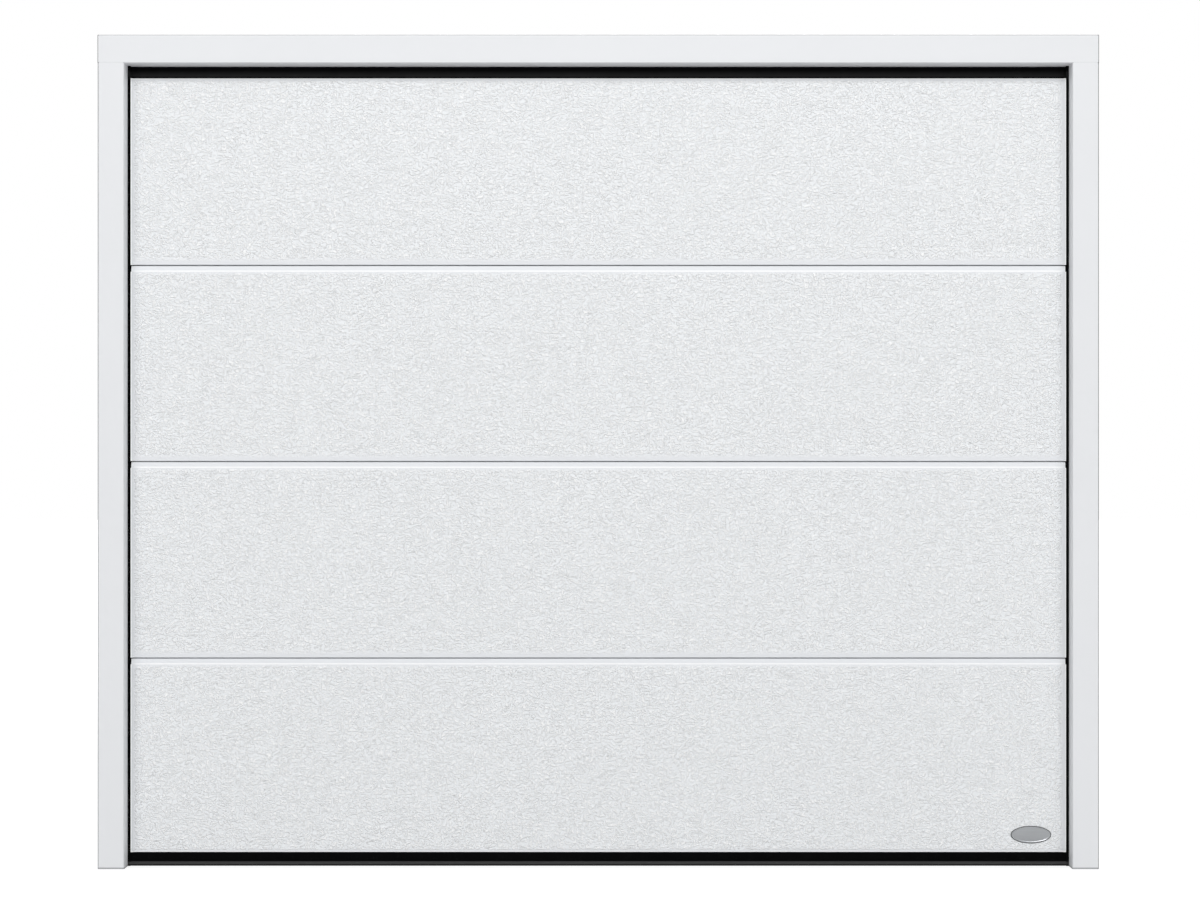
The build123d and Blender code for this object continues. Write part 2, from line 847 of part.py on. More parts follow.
def make_cable():
    # from the eye on the bottom bracket, over the pulley and back along the rails to the drum
    drum_top = (cable_x, shaft_y, cable_level)
    with BuildPart() as cable:
        with BuildLine():
            Line((cable_x, cable_y, cable_pin_z + cable_pin_radius + 4), (cable_x, cable_y, pulley_z))
            ThreePointArc(
                (cable_x, cable_y, pulley_z),
                (cable_x, pulley_y - pulley_pitch_radius * 0.5 ** 0.5, pulley_z + pulley_pitch_radius * 0.5 ** 0.5),
                (cable_x, pulley_y, cable_level),
            )
            Line((cable_x, pulley_y, cable_level), drum_top)
            ThreePointArc(
                drum_top,
                (cable_x, shaft_y + drum_pitch_radius, shaft_z),
                (cable_x, shaft_y, shaft_z - drum_pitch_radius),
            )
        with BuildSketch(Plane.XY.offset(cable_pin_z + cable_pin_radius + 4)):
            with Locations((cable_x, cable_y)):
                Circle(cable_radius)
        sweep()
        # the crimped ferrule and the eye round the bracket's pin
        with BuildSketch(Plane.XY.offset(cable_pin_z + cable_pin_radius + 2)):
            with Locations((cable_x, cable_y)):
                Circle(ferrule_radius)
        extrude(amount=ferrule_length)
        with BuildSketch(Plane.YZ.offset(cable_x - cable_eye_width / 2)):
            with Locations((cable_y, cable_pin_z)):
                Circle(cable_eye_radius)
                Circle(cable_pin_radius + fit, mode=Mode.SUBTRACT)
        extrude(amount=cable_eye_width)
    return cable.part


def turned(points):
    # a body of revolution round the shaft's axis, from points (x, radius)
    with BuildPart() as body:
        with BuildSketch(Plane.XY.offset(shaft_z)):
            with BuildLine():
                Polyline(*[(x, shaft_y + radius) for x, radius in points], close=True)
            make_face()
        revolve(axis=shaft_axis)
    return body.part


def make_cable_pulley():
    half = pulley_width / 2
    root = pulley_pitch_radius - cable_radius - seal_clearance
    rim = pulley_pitch_radius + pulley_flange
    groove = cable_radius + seal_clearance
    with BuildPart() as pulley:
        with BuildSketch(Plane.XY.offset(pulley_z)):
            with BuildLine():
                Polyline(
                    *[
                        (cable_x + x, pulley_y + radius)
                        for x, radius in (
                            (-half, pulley_bolt_radius + fit),
                            (-half, rim),
                            (-half + 2, rim),
                            (-groove, root),
                            (groove, root),
                            (half - 2, rim),
                            (half, rim),
                            (half, pulley_bolt_radius + fit),
                        )
                    ],
                    close=True,
                )
            make_face()
        revolve(axis=Axis((0, pulley_y, pulley_z), (1, 0, 0)))
    return pulley.part


def make_cable_drum():
    bore = shaft_radius + fit
    root = drum_pitch_radius - cable_radius - seal_clearance
    rim = drum_pitch_radius + drum_flange
    start, end = cable_x - drum_width / 2, cable_x + drum_width / 2
    return turned(
        (
            (start, bore),
            (start, root),
            (end, root),
            (end, rim),
            (end + drum_rim, rim),
            (end + drum_rim, drum_hub_radius),
            (end + drum_hub, drum_hub_radius),
            (end + drum_hub, bore),
        )
    )


def make_torsion_shaft():
    reach = plate_outside + shaft_overhang
    with BuildPart() as shaft:
        with BuildSketch(Plane.YZ.offset(-reach)):
            with Locations((shaft_y, shaft_z)):
                Circle(shaft_radius)
            # keyway along the whole shaft
            with Locations((shaft_y, shaft_z + shaft_radius)):
                Rectangle(keyway_width, 2 * keyway_depth, mode=Mode.SUBTRACT)
        extrude(amount=2 * reach)
    return shaft.part


def make_spring():
    # the close-wound spring's outer form
    start = centre_plate / 2 + cone_flange
    bore = spring_radius - spring_wire
    return turned(
        (
            (start, bore),
            (start, spring_radius),
            (start + spring_length, spring_radius),
            (start + spring_length, bore),
        )
    )


def make_spring_cones():
    # the fixed cone at the centre bracket and the winding cone at the spring's outer end
    bore = shaft_radius + fit
    barrel = spring_radius - spring_wire - fit
    start = centre_plate / 2 + cone_flange
    end = start + spring_length
    fixed_cone = turned(
        (
            (centre_plate / 2, bore),
            (centre_plate / 2, cone_flange_radius),
            (start, cone_flange_radius),
            (start, barrel),
            (start + cone_grip, barrel),
            (start + cone_grip, bore),
        )
    )
    winding_cone = turned(
        (
            (end - cone_grip, bore),
            (end - cone_grip, barrel),
            (end, barrel),
            (end, winding_collar_radius),
            (end + winding_collar, winding_collar_radius),
            (end + winding_collar, bore),
        )
    )
    with BuildPart() as cones:
        add(fixed_cone)
        add(winding_cone)
        # sockets for the winding bars
        with BuildSketch(Plane.XY.offset(shaft_z + shaft_radius + fit)):
            with Locations((end + winding_collar / 2, shaft_y)):
                Circle(winding_bar_radius)
        extrude(amount=winding_collar_radius, mode=Mode.SUBTRACT)
    return cones.part


def make_centre_bracket():
    low, high = crossbar_top - crossbar_height + 5, crossbar_top - 5
    reach = cone_flange_radius + 2
    with BuildPart() as centre_bracket:
        block(
            (-centre_foot_width / 2, crossbar_back, low),
            (centre_foot_width / 2, crossbar_back + plate_thickness, high),
        )
        with BuildSketch(Plane.YZ.offset(-centre_plate / 2)):
            with BuildLine():
                Polyline(
                    (crossbar_back, low),
                    (shaft_y, shaft_z - reach),
                    (shaft_y, shaft_z + reach),
                    (crossbar_back, high),
                    close=True,
                )
            make_face()
            with Locations((shaft_y, shaft_z)):
                Circle(reach)
                Circle(shaft_radius + fit, mode=Mode.SUBTRACT)
        extrude(amount=centre_plate)
    return centre_bracket.part


os.makedirs("parts", exist_ok=True)

section_names = ("bottom_section", "lower_middle_section", "upper_middle_section", "top_section")
for place, (name, (low, high)) in enumerate(zip(section_names, section_limits())):
    save(make_section(low, high, place > 0, place < len(section_names) - 1), name)

# pieces that stand alone
save(make_lintel(), "lintel")
save(make_top_seal(), "top_seal")
save(make_bottom_rail(), "bottom_rail")
save(make_bottom_seal(), "bottom_seal")
save(make_hinge_lower_leaves(), "hinge_lower_leaves")
save(make_hinge_upper_leaves(), "hinge_upper_leaves")
save(make_hinge_pins(), "hinge_pins")
save(make_rear_crossbar(), "rear_crossbar")
save(make_torsion_shaft(), "torsion_shaft")
save(make_centre_bracket(), "centre_bearing_bracket")

# pieces that come once on each side
handed = {
    "jamb": make_jamb(),
    "side_seal": make_side_seal(),
    "end_caps": make_end_caps(),
    "vertical_track": make_vertical_track(),
    "curved_track": make_curved_track(),
    "lower_rail": make_rail(curve_y, lower_rail_z),
    "upper_rail": make_rail(track_front, upper_rail_z),
    "flag_plate": make_flag_plate(),
    "rear_plate": make_rear_plate(),
    "cable": make_cable(),
}
for name, piece in handed.items():
    save(piece, f"right_{name}")
    save(mirrored(piece), f"left_{name}")

# small pieces whose left and right copies share a name
paired = {
    "roller_carriers": make_roller_carriers(),
    "bottom_brackets": make_bottom_bracket(),
    "top_brackets": make_top_bracket(),
    "rollers": make_rollers(),
    "roller_axles": make_roller_axles(),
    "track_brackets": make_track_brackets(),
    "middle_hangers": make_hanger(middle_hanger_y, track_outside),
    "rear_hangers": make_hanger(rear_hanger_y, plate_outside),
    "cable_pulleys": make_cable_pulley(),
    "cable_drums": make_cable_drum(),
    "torsion_springs": make_spring(),
    "spring_cones": make_spring_cones(),
}
for name, piece in paired.items():
    with BuildPart() as pair:
        add(piece)
        mirror(piece, about=Plane.YZ)
    save(pair.part, name)
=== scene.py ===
import json
import math

import bpy
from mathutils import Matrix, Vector


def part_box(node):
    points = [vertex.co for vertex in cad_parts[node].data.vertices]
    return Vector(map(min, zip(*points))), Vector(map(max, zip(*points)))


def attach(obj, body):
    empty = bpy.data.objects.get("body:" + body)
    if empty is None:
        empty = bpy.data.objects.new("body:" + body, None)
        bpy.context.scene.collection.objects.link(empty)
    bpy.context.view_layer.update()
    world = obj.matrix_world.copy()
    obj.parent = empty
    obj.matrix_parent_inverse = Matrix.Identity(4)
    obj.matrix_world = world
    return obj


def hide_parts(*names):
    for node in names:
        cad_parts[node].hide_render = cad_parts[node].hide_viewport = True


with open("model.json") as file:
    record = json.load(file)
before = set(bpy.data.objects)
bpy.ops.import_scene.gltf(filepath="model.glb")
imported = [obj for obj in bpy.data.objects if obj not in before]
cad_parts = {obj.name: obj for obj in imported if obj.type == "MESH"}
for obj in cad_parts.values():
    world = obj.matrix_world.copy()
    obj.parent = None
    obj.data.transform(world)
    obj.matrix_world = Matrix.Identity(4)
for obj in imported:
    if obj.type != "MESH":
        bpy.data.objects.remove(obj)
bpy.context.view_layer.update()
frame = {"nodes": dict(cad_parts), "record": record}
cadNodes = frame["nodes"]
scene = bpy.context.scene
mm = 0.001

# places read from the frame, in metres
frameLow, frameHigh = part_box("left_jamb")
floorZ = frameLow[2]
frameSide = -frameLow[0]
frameFront, frameBack = frameLow[1], frameHigh[1]
leafLow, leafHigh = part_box("bottom_section")
leafFront, leafBack = leafLow[1], leafHigh[1]
capLow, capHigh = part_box("right_end_caps")
halfLeaf = capHigh[0]
leafBottom, leafTop = capLow[2], capHigh[2]
sectionNames = ("bottom_section", "lower_middle_section", "upper_middle_section", "top_section")
halfJoint = 1.5 * mm  # half of the gap between two sections
jointLevels = [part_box(name)[0][2] - halfJoint for name in sectionNames[1:]]


# middle of a node's box along one axis
def middleOf(node, axis):
    low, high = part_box(node)
    return (low[axis] + high[axis]) / 2


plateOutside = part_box("right_flag_plate")[1][0]
rollerY = middleOf("right_vertical_track", 1)
upperRailZ, lowerRailZ = middleOf("right_upper_rail", 2), middleOf("right_lower_rail", 2)
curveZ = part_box("right_vertical_track")[1][2]
shaftY, shaftZ = middleOf("torsion_springs", 1), middleOf("torsion_springs", 2)


# colours are sRGB hex, as read from a colour card
def colourFromHex(code):
    channels = [int(code[i:i + 2], 16) / 255 for i in (0, 2, 4)]
    return [c / 12.92 if c <= 0.04045 else ((c + 0.055) / 1.055) ** 2.4 for c in channels] + [1.0]


# an input is a value, a colour's hex code, a socket to link from, or a node whose first working
# output is linked
def setInputs(tree, node, inputs):
    for name, value in inputs.items():
        if isinstance(value, bpy.types.Node):
            value = next(output for output in value.outputs if output.enabled)
        if isinstance(value, bpy.types.NodeSocket):
            tree.links.new(value, node.inputs[name])
        else:
            node.inputs[name].default_value = colourFromHex(value) if isinstance(value, str) else value


# adds one node: settings are its properties
def addNode(tree, kind, inputs=None, **settings):
    node = tree.nodes.new(kind)
    for name, value in settings.items():
        setattr(node, name, value)
    setInputs(tree, node, inputs or {})
    return node


# a new material with its shader's own sockets set, and the object's coordinates to draw with
def startMaterial(name, **sockets):
    material = bpy.data.materials.new(name)
    material.use_nodes = True
    tree = material.node_tree
    shader = tree.nodes["Principled BSDF"]
    setInputs(tree, shader, sockets)
    place = addNode(tree, "ShaderNodeTexCoord").outputs["Object"]
    return material, tree, shader, place


# adds a texture on stretched coordinates, so that its grains have the given size in millimetres
# along each axis, or one size along all
def addTexture(tree, kind, place, size, inputs):
    scale = [1 / (s * mm) for s in (size if isinstance(size, tuple) else (size, size, size))]
    stretched = addNode(tree, "ShaderNodeMapping", {"Vector": place, "Scale": scale})
    return addNode(tree, kind, {"Vector": stretched, "Scale": 1.0, **inputs})


print("frame loaded")

# Camera: straight on, 6 m in front of the frame, at 1.1 m above the floor
cameraValues = {
    "photoWidth": 1200,  # pixels
    "focalPixels": 2276,
    "sensorWidth": 36,  # mm
    "distance": 6.0,  # m in front of the frame's face
    "height": 1.1049,  # m above the floor
    "sideways": 0.0045,
}
cameraData = bpy.data.cameras.new("camera")
cameraData.sensor_width = cameraValues["sensorWidth"]
cameraData.lens = cameraValues["sensorWidth"] * cameraValues["focalPixels"] / cameraValues["photoWidth"]
camera = bpy.data.objects.new("camera", cameraData)
camera.location = (
    cameraValues["sideways"],
    frameFront - cameraValues["distance"],
    floorZ + cameraValues["height"],
)
camera.rotation_euler = (math.pi / 2, 0, 0)
scene.collection.objects.link(camera)
scene.camera = camera

# Light: a wide soft box high in front, another behind, and a room that is brighter in front and
# behind than at its sides
lightValues = {
    "colour": "FDFEFF",
    "sideStrength": 0.08,
    "frontStrength": 0.755,
    "ceilingStrength": 0.3,
    "lamps": (
        # name, place, target, width, height, watts
        ("frontSoftBox", (0.0, -8.5, 7.5), (0, 0, -0.9), 6.5, 2.5, 655),
        ("rearSoftBox", (0.8, 7.6, 3.6), (0, 0.8, -1.0), 5.5, 2.2, 330),
    ),
}
scene.view_settings.view_transform = "Standard"
world = bpy.data.worlds.new("white room")
scene.world = world
world.use_nodes = True
tree = world.node_tree
tree.nodes.clear()
direction = addNode(tree, "ShaderNodeTexCoord").outputs["Generated"]
axes = addNode(tree, "ShaderNodeSeparateXYZ", {0: direction})
depthShare = addNode(tree, "ShaderNodeMath", {0: axes.outputs["Y"]}, operation="ABSOLUTE")
frontLight = addNode(tree, "ShaderNodeMapRange", {
    "Value": depthShare, "To Min": lightValues["sideStrength"], "To Max": lightValues["frontStrength"]})
roomStrength = addNode(tree, "ShaderNodeMath", {0: axes.outputs["Z"], 1: 0.0}, operation="MAXIMUM")
roomStrength = addNode(tree, "ShaderNodeMath", {
    0: roomStrength, 1: lightValues["ceilingStrength"], 2: frontLight}, operation="MULTIPLY_ADD")
rays = addNode(tree, "ShaderNodeLightPath")
roomLight = addNode(tree, "ShaderNodeBackground", {"Color": lightValues["colour"], "Strength": roomStrength})
roomSeen = addNode(tree, "ShaderNodeBackground", {"Color": (1, 1, 1, 1), "Strength": 1.0})
roomMix = addNode(tree, "ShaderNodeMixShader", {0: rays.outputs["Is Camera Ray"], 1: roomLight, 2: roomSeen})
addNode(tree, "ShaderNodeOutputWorld", {"Surface": roomMix})
for name, spot, target, width, height, watts in lightValues["lamps"]:
    lampData = bpy.data.lights.new(name, "AREA")
    lampData.shape = "RECTANGLE"
    lampData.size, lampData.size_y, lampData.energy = width, height, watts
    lamp = bpy.data.objects.new(name, lampData)
    lamp.location = spot
    lamp.rotation_euler = (Vector(target) - Vector(spot)).to_track_quat("-Z", "Y").to_euler()
    lamp.visible_camera = False
    scene.collection.objects.link(lamp)

# Floor: plain and pale, seen white, with the door's soft shadow kept near the door
floorValues = {
    "colour": "F4F4F4", "bounceColour": "DCDCDC", "roughness": 0.9, "whiteShare": 0.55, "lift": 1.25,
    "size": 60.0, "shadowDepth": 1.2, "fadeFrom": 2.2, "fadeTo": 4.5,  # m
}
floorMesh = bpy.data.meshes.new("floor")
reach = floorValues["size"] / 2
floorMesh.from_pydata([(-reach, -reach, floorZ), (reach, -reach, floorZ), (reach, reach, floorZ),
                       (-reach, reach, floorZ)], [], [(0, 1, 2, 3)])
floorObject = bpy.data.objects.new("floor", floorMesh)
scene.collection.objects.link(floorObject)
floorMaterial, tree, shader, place = startMaterial("matt white floor", Roughness=floorValues["roughness"])
rays = addNode(tree, "ShaderNodeLightPath")
floorTone = addNode(tree, "ShaderNodeMix", {
    "Factor": rays.outputs["Is Camera Ray"], 6: floorValues["bounceColour"],
    7: floorValues["colour"]}, data_type="RGBA")
setInputs(tree, shader, {"Base Color": floorTone})
fromDoor = addNode(tree, "ShaderNodeVectorMath", {
    0: place, 1: (0.0, floorValues["shadowDepth"], floorZ)}, operation="DISTANCE")
share = addNode(tree, "ShaderNodeMapRange", {
    "Value": fromDoor.outputs["Value"], "From Min": floorValues["fadeFrom"], "From Max": floorValues["fadeTo"],
    "To Min": floorValues["whiteShare"], "To Max": 1.0})
share = addNode(tree, "ShaderNodeMath", {0: share, 1: rays.outputs["Is Camera Ray"]}, operation="MULTIPLY")
white = addNode(tree, "ShaderNodeEmission", {"Color": (1, 1, 1, 1), "Strength": floorValues["lift"]})
floorMix = addNode(tree, "ShaderNodeMixShader", {0: share, 1: shader, 2: white})
setInputs(tree, tree.nodes["Material Output"], {"Surface": floorMix})
floorMesh.materials.append(floorMaterial)
print("camera, light and floor made")


# Polyester powder coat on galvanised steel tube: sprayed and baked, smooth with a faint orange peel
# that breaks up the sheen. Painted shade darkens the tube's rounded corners, most down the frame's
# outer sides, and a line along each end of the lintel, and a painted contact shadow darkens it where
# the posts stand on the floor.
def makePowderCoat():
    values = {
        "colour": "EBECEE", "shade": "E9EAEC", "cornerShadeColour": "2A2C2E", "footShadowColour": "86888A",
        "smoothest": 0.46, "roughest": 0.52,
        "cornerFrom": 0.99, "cornerFull": 0.85, "innerShare": 0.2, "topShare": 0.5,
        # mm
        "edgeFrom": 5.0, "edgeFull": 4.0, "cutWidth": 1.8, "footShadowHeight": 6.0,
        "peelSize": 2.4, "peelHeight": 0.02, "cloudSize": 260.0,
    }
    material, tree, shader, place = startMaterial("white powder coat")
    cloud = addTexture(tree, "ShaderNodeTexNoise", place, values["cloudSize"], {"Detail": 2.0})
    tone = addNode(tree, "ShaderNodeMix", {
        "Factor": cloud, 6: values["shade"], 7: values["colour"]}, data_type="RGBA")
    # on a rounded corner no part of the normal is near 1
    normal = addNode(tree, "ShaderNodeNewGeometry").outputs["Normal"]
    facing = addNode(tree, "ShaderNodeSeparateXYZ", {0: normal})
    squarest = addNode(tree, "ShaderNodeMath", {0: facing.outputs["X"]}, operation="ABSOLUTE")
    for axis in ("Y", "Z"):
        along = addNode(tree, "ShaderNodeMath", {0: facing.outputs[axis]}, operation="ABSOLUTE")
        squarest = addNode(tree, "ShaderNodeMath", {0: squarest, 1: along}, operation="MAXIMUM")
    corner = addNode(tree, "ShaderNodeMapRange", {
        "Value": squarest, "From Min": values["cornerFull"], "From Max": values["cornerFrom"],
        "To Min": 1.0, "To Max": 0.0})
    # painted shade on the corners: strongest down the frame's outer sides, less along its top, little elsewhere
    axes = addNode(tree, "ShaderNodeSeparateXYZ", {0: place})
    fromMiddle = addNode(tree, "ShaderNodeMath", {0: axes.outputs["X"]}, operation="ABSOLUTE")
    outer = addNode(tree, "ShaderNodeMapRange", {
        "Value": fromMiddle, "From Min": frameSide - values["edgeFrom"] * mm,
        "From Max": frameSide - values["edgeFull"] * mm, "To Min": values["innerShare"], "To Max": 1.0})
    top = addNode(tree, "ShaderNodeMapRange", {
        "Value": axes.outputs["Z"], "From Min": -values["edgeFrom"] * mm, "From Max": -values["edgeFull"] * mm,
        "To Max": values["topShare"]})
    share = addNode(tree, "ShaderNodeMath", {0: outer, 1: top}, operation="MAXIMUM")
    corner = addNode(tree, "ShaderNodeMath", {0: corner, 1: share}, operation="MULTIPLY")
    # the lintel's ends are cut square, and painted shade darkens a thin line along each end
    atEnd = addNode(tree, "ShaderNodeMapRange", {
        "Value": fromMiddle, "From Min": frameSide - values["cutWidth"] * mm,
        "From Max": frameSide - values["cutWidth"] / 2 * mm})
    toFront = addNode(tree, "ShaderNodeMath", {0: facing.outputs["Y"]}, operation="ABSOLUTE")
    cut = addNode(tree, "ShaderNodeMath", {0: atEnd, 1: toFront}, operation="MULTIPLY")
    corner = addNode(tree, "ShaderNodeMath", {0: corner, 1: cut}, operation="MAXIMUM")
    tone = addNode(tree, "ShaderNodeMix", {
        "Factor": corner, 6: tone, 7: values["cornerShadeColour"]}, data_type="RGBA")
    # painted contact shadow: darker in the last few millimetres above the floor
    foot = addNode(tree, "ShaderNodeMapRange", {
        "Value": axes.outputs["Z"], "From Min": floorZ, "From Max": floorZ + values["footShadowHeight"] * mm,
        "To Min": 1.0, "To Max": 0.0})
    tone = addNode(tree, "ShaderNodeMix", {"Factor": foot, 6: tone, 7: values["footShadowColour"]}, data_type="RGBA")
    peel = addTexture(tree, "ShaderNodeTexNoise", place, values["peelSize"], {"Detail": 1.0})
    bump = addNode(tree, "ShaderNodeBump", {
        "Height": peel, "Strength": 0.5, "Distance": values["peelHeight"] * mm})
    sheen = addNode(tree, "ShaderNodeMapRange", {
        "Value": cloud, "From Min": 0.3, "From Max": 0.7,
        "To Min": values["smoothest"], "To Max": values["roughest"]})
    setInputs(tree, shader, {"Base Color": tone, "Roughness": sheen, "Normal": bump})
    return material


# Coil-coated steel skin: painted in the coil and embossed between rollers with fine raised strokes
# like wood grain, left smooth at the section's edges where it is folded. The inner skin is a
# greyer white. The strokes are drawn deeper than real so that they show from 6 m, and their ridges are
# lighter, a painted highlight. A painted highlight runs along the crease under each joint, and painted
# shade greys the leaf's ends.
def makeEmbossedSkin():
    values = {
        "colour": "F2F4F6", "plainColour": "E8EAED", "ridgeHighlightColour": "FFFFFF", "creaseHighlightColour": "FCFCFD",
        "foldColour": "FFFFFF", "endShadeColour": "DBDDDF", "innerColour": "DDDEDD", "innerRidgeHighlight": "ECEDEC",
        "roughness": 0.5, "lineShare": 0.15, "dashFrom": 0.42, "dashFull": 0.52, "leastBusy": 0.75,
        "hemShare": 0.2, "endShadePower": 2.0,
        # mm
        "strokeDepth": 1.7, "fieldLength": 12.5, "fieldHeight": 8.0, "dashLength": 6.5, "dashHeight": 6.0,
        "patchLength": 50.0, "patchHeight": 24.0, "throughSkin": 40.0, "throughPatch": 90.0,
        "leanBand": 15.0, "smoothBelow": 18.0, "smoothAbove": 6.0, "jointFade": 6.0, "fadeCentre": 4.0,
        "fadeAbove": 14.0, "smoothEdge": 5.0, "edgeFade": 3.0, "smoothEnd": 8.0, "endFade": 5.0,
        "hemLine": 6.0, "hemWidth": 1.2, "creaseWidth": 2.6, "foldWidth": 2.4, "foldFade": 0.5,
        "flangeStands": 0.5, "endShadeFrom": 3.0, "endShadeReach": 30.0,
    }
    material, tree, shader, place = startMaterial("white embossed coil coat", Roughness=values["roughness"])
    axes = addNode(tree, "ShaderNodeSeparateXYZ", {0: place})
    # a stroke follows the middle value of a stretched noise, and a second noise breaks it into dashes
    through = values["throughSkin"]
    field = addTexture(tree, "ShaderNodeTexNoise", place, (
        values["fieldLength"], through, values["fieldHeight"]), {
        "Detail": 1.6, "Roughness": 0.5, "Distortion": 0.7})
    fromLine = addNode(tree, "ShaderNodeMath", {0: field, 1: 0.5}, operation="SUBTRACT")
    fromLine = addNode(tree, "ShaderNodeMath", {0: fromLine}, operation="ABSOLUTE")
    line = addNode(tree, "ShaderNodeMapRange", {
        "Value": fromLine, "From Min": 0.0, "From Max": values["lineShare"],
        "To Min": 1.0, "To Max": 0.0}, interpolation_type="SMOOTHSTEP")
    breaks = addTexture(tree, "ShaderNodeTexNoise", place, (
        values["dashLength"], through, values["dashHeight"]), {"Detail": 1.0})
    dash = addNode(tree, "ShaderNodeMapRange", {
        "Value": breaks, "From Min": values["dashFrom"], "From Max": values["dashFull"]},
        interpolation_type="SMOOTHSTEP")
    carved = addNode(tree, "ShaderNodeMath", {0: line, 1: dash}, operation="MULTIPLY")
    patches = addTexture(tree, "ShaderNodeTexNoise", place, (
        values["patchLength"], values["throughPatch"], values["patchHeight"]), {"Detail": 1.0})
    busy = addNode(tree, "ShaderNodeMapRange", {
        "Value": patches, "From Min": 0.3, "From Max": 0.6, "To Min": values["leastBusy"], "To Max": 1.0})

    # 0 within reach of a level or a place along one axis, rising to 1 outside it
    def clearOf(axis, centre, reach, fade):
        away = addNode(tree, "ShaderNodeMath", {0: axes.outputs[axis], 1: centre}, operation="SUBTRACT")
        away = addNode(tree, "ShaderNodeMath", {0: away}, operation="ABSOLUTE")
        return addNode(tree, "ShaderNodeMapRange", {
            "Value": away, "From Min": reach * mm, "From Max": (reach + fade) * mm})

    # smooth below each joint, fading in above it, and smooth in a border all round the leaf
    masks = [clearOf("X", side * halfLeaf, values["smoothEnd"], values["endFade"]) for side in (-1, 1)]
    masks += [clearOf("Z", edge, values["smoothEdge"], values["edgeFade"]) for edge in (leafBottom, leafTop)]
    above, below = values["smoothAbove"], values["smoothBelow"]
    for level in jointLevels:
        masks.append(clearOf("Z", level + (above - below) / 2 * mm, (above + below) / 2, values["jointFade"]))
        masks.append(clearOf("Z", level + values["fadeCentre"] * mm, values["fadeCentre"], values["fadeAbove"]))
    # the end caps' flanges are plain sheet
    onFlange = addNode(tree, "ShaderNodeMath", {
        0: axes.outputs["Y"], 1: leafBack + values["flangeStands"] * mm}, operation="GREATER_THAN")
    masks.append(addNode(tree, "ShaderNodeMath", {0: 1.0, 1: onFlange}, operation="SUBTRACT"))
    embossed = masks[0]
    for smooth in masks[1:]:
        embossed = addNode(tree, "ShaderNodeMath", {0: embossed, 1: smooth}, operation="MULTIPLY")
    stroke = addNode(tree, "ShaderNodeMath", {0: carved, 1: busy}, operation="MULTIPLY")
    stroke = addNode(tree, "ShaderNodeMath", {0: stroke, 1: embossed}, operation="MULTIPLY")
    # the fine line where the outer skin is hemmed along the leaf's top and bottom
    height = stroke
    for edge, inward in ((leafBottom, 1), (leafTop, -1)):
        hem = clearOf("Z", edge + inward * values["hemLine"] * mm, 0, values["hemWidth"])
        height = addNode(tree, "ShaderNodeMath", {0: hem, 1: values["hemShare"], 2: height},
                         operation="MULTIPLY_ADD")
    bump = addNode(tree, "ShaderNodeBump", {
        "Height": height, "Strength": 1.0, "Distance": values["strokeDepth"] * mm})
    ground = addNode(tree, "ShaderNodeMix", {
        "Factor": embossed, 6: values["plainColour"], 7: values["colour"]}, data_type="RGBA")
    # painted highlight: the strokes' ridges are lighter than the ground, on the outer and the inner skin
    outer = addNode(tree, "ShaderNodeMix", {
        "Factor": stroke, 6: ground, 7: values["ridgeHighlightColour"]}, data_type="RGBA")
    inner = addNode(tree, "ShaderNodeMix", {
        "Factor": stroke, 6: values["innerColour"], 7: values["innerRidgeHighlight"]}, data_type="RGBA")
    # a painted highlight: a brighter white line along the crease under each joint
    outside, half = outer, values["creaseWidth"] / 2
    for level in jointLevels:
        creaseHighlight = clearOf("Z", level - values["leanBand"] * mm, half, half)
        outside = addNode(tree, "ShaderNodeMix", {
            "Factor": creaseHighlight, 6: values["creaseHighlightColour"], 7: outside}, data_type="RGBA")
    # and painted shade: a little grey near the caps at the leaf's ends, where the frame's reveals shade it
    for side in (-1, 1):
        unshaded = clearOf("X", side * halfLeaf, values["endShadeFrom"], values["endShadeReach"])
        dustAndShade = addNode(tree, "ShaderNodeMath", {0: 1.0, 1: unshaded}, operation="SUBTRACT")
        dustAndShade = addNode(tree, "ShaderNodeMath", {0: dustAndShade, 1: values["endShadePower"]}, operation="POWER")
        outside = addNode(tree, "ShaderNodeMix", {
            "Factor": dustAndShade, 6: outside, 7: values["endShadeColour"]}, data_type="RGBA")
    # the fold round the leaf's outline catches the light
    for axis, edge in (("X", -halfLeaf), ("X", halfLeaf), ("Z", leafBottom), ("Z", leafTop)):
        flat = clearOf(axis, edge, values["foldWidth"] - values["foldFade"], values["foldFade"])
        outside = addNode(tree, "ShaderNodeMix", {
            "Factor": flat, 6: values["foldColour"], 7: outside}, data_type="RGBA")
    inside = addNode(tree, "ShaderNodeMath", {0: axes.outputs["Y"], 1: (leafFront + leafBack) / 2},
                     operation="GREATER_THAN")
    tone = addNode(tree, "ShaderNodeMix", {"Factor": inside, 6: outside, 7: inner}, data_type="RGBA")
    setInputs(tree, shader, {"Base Color": tone, "Normal": bump})
    return material


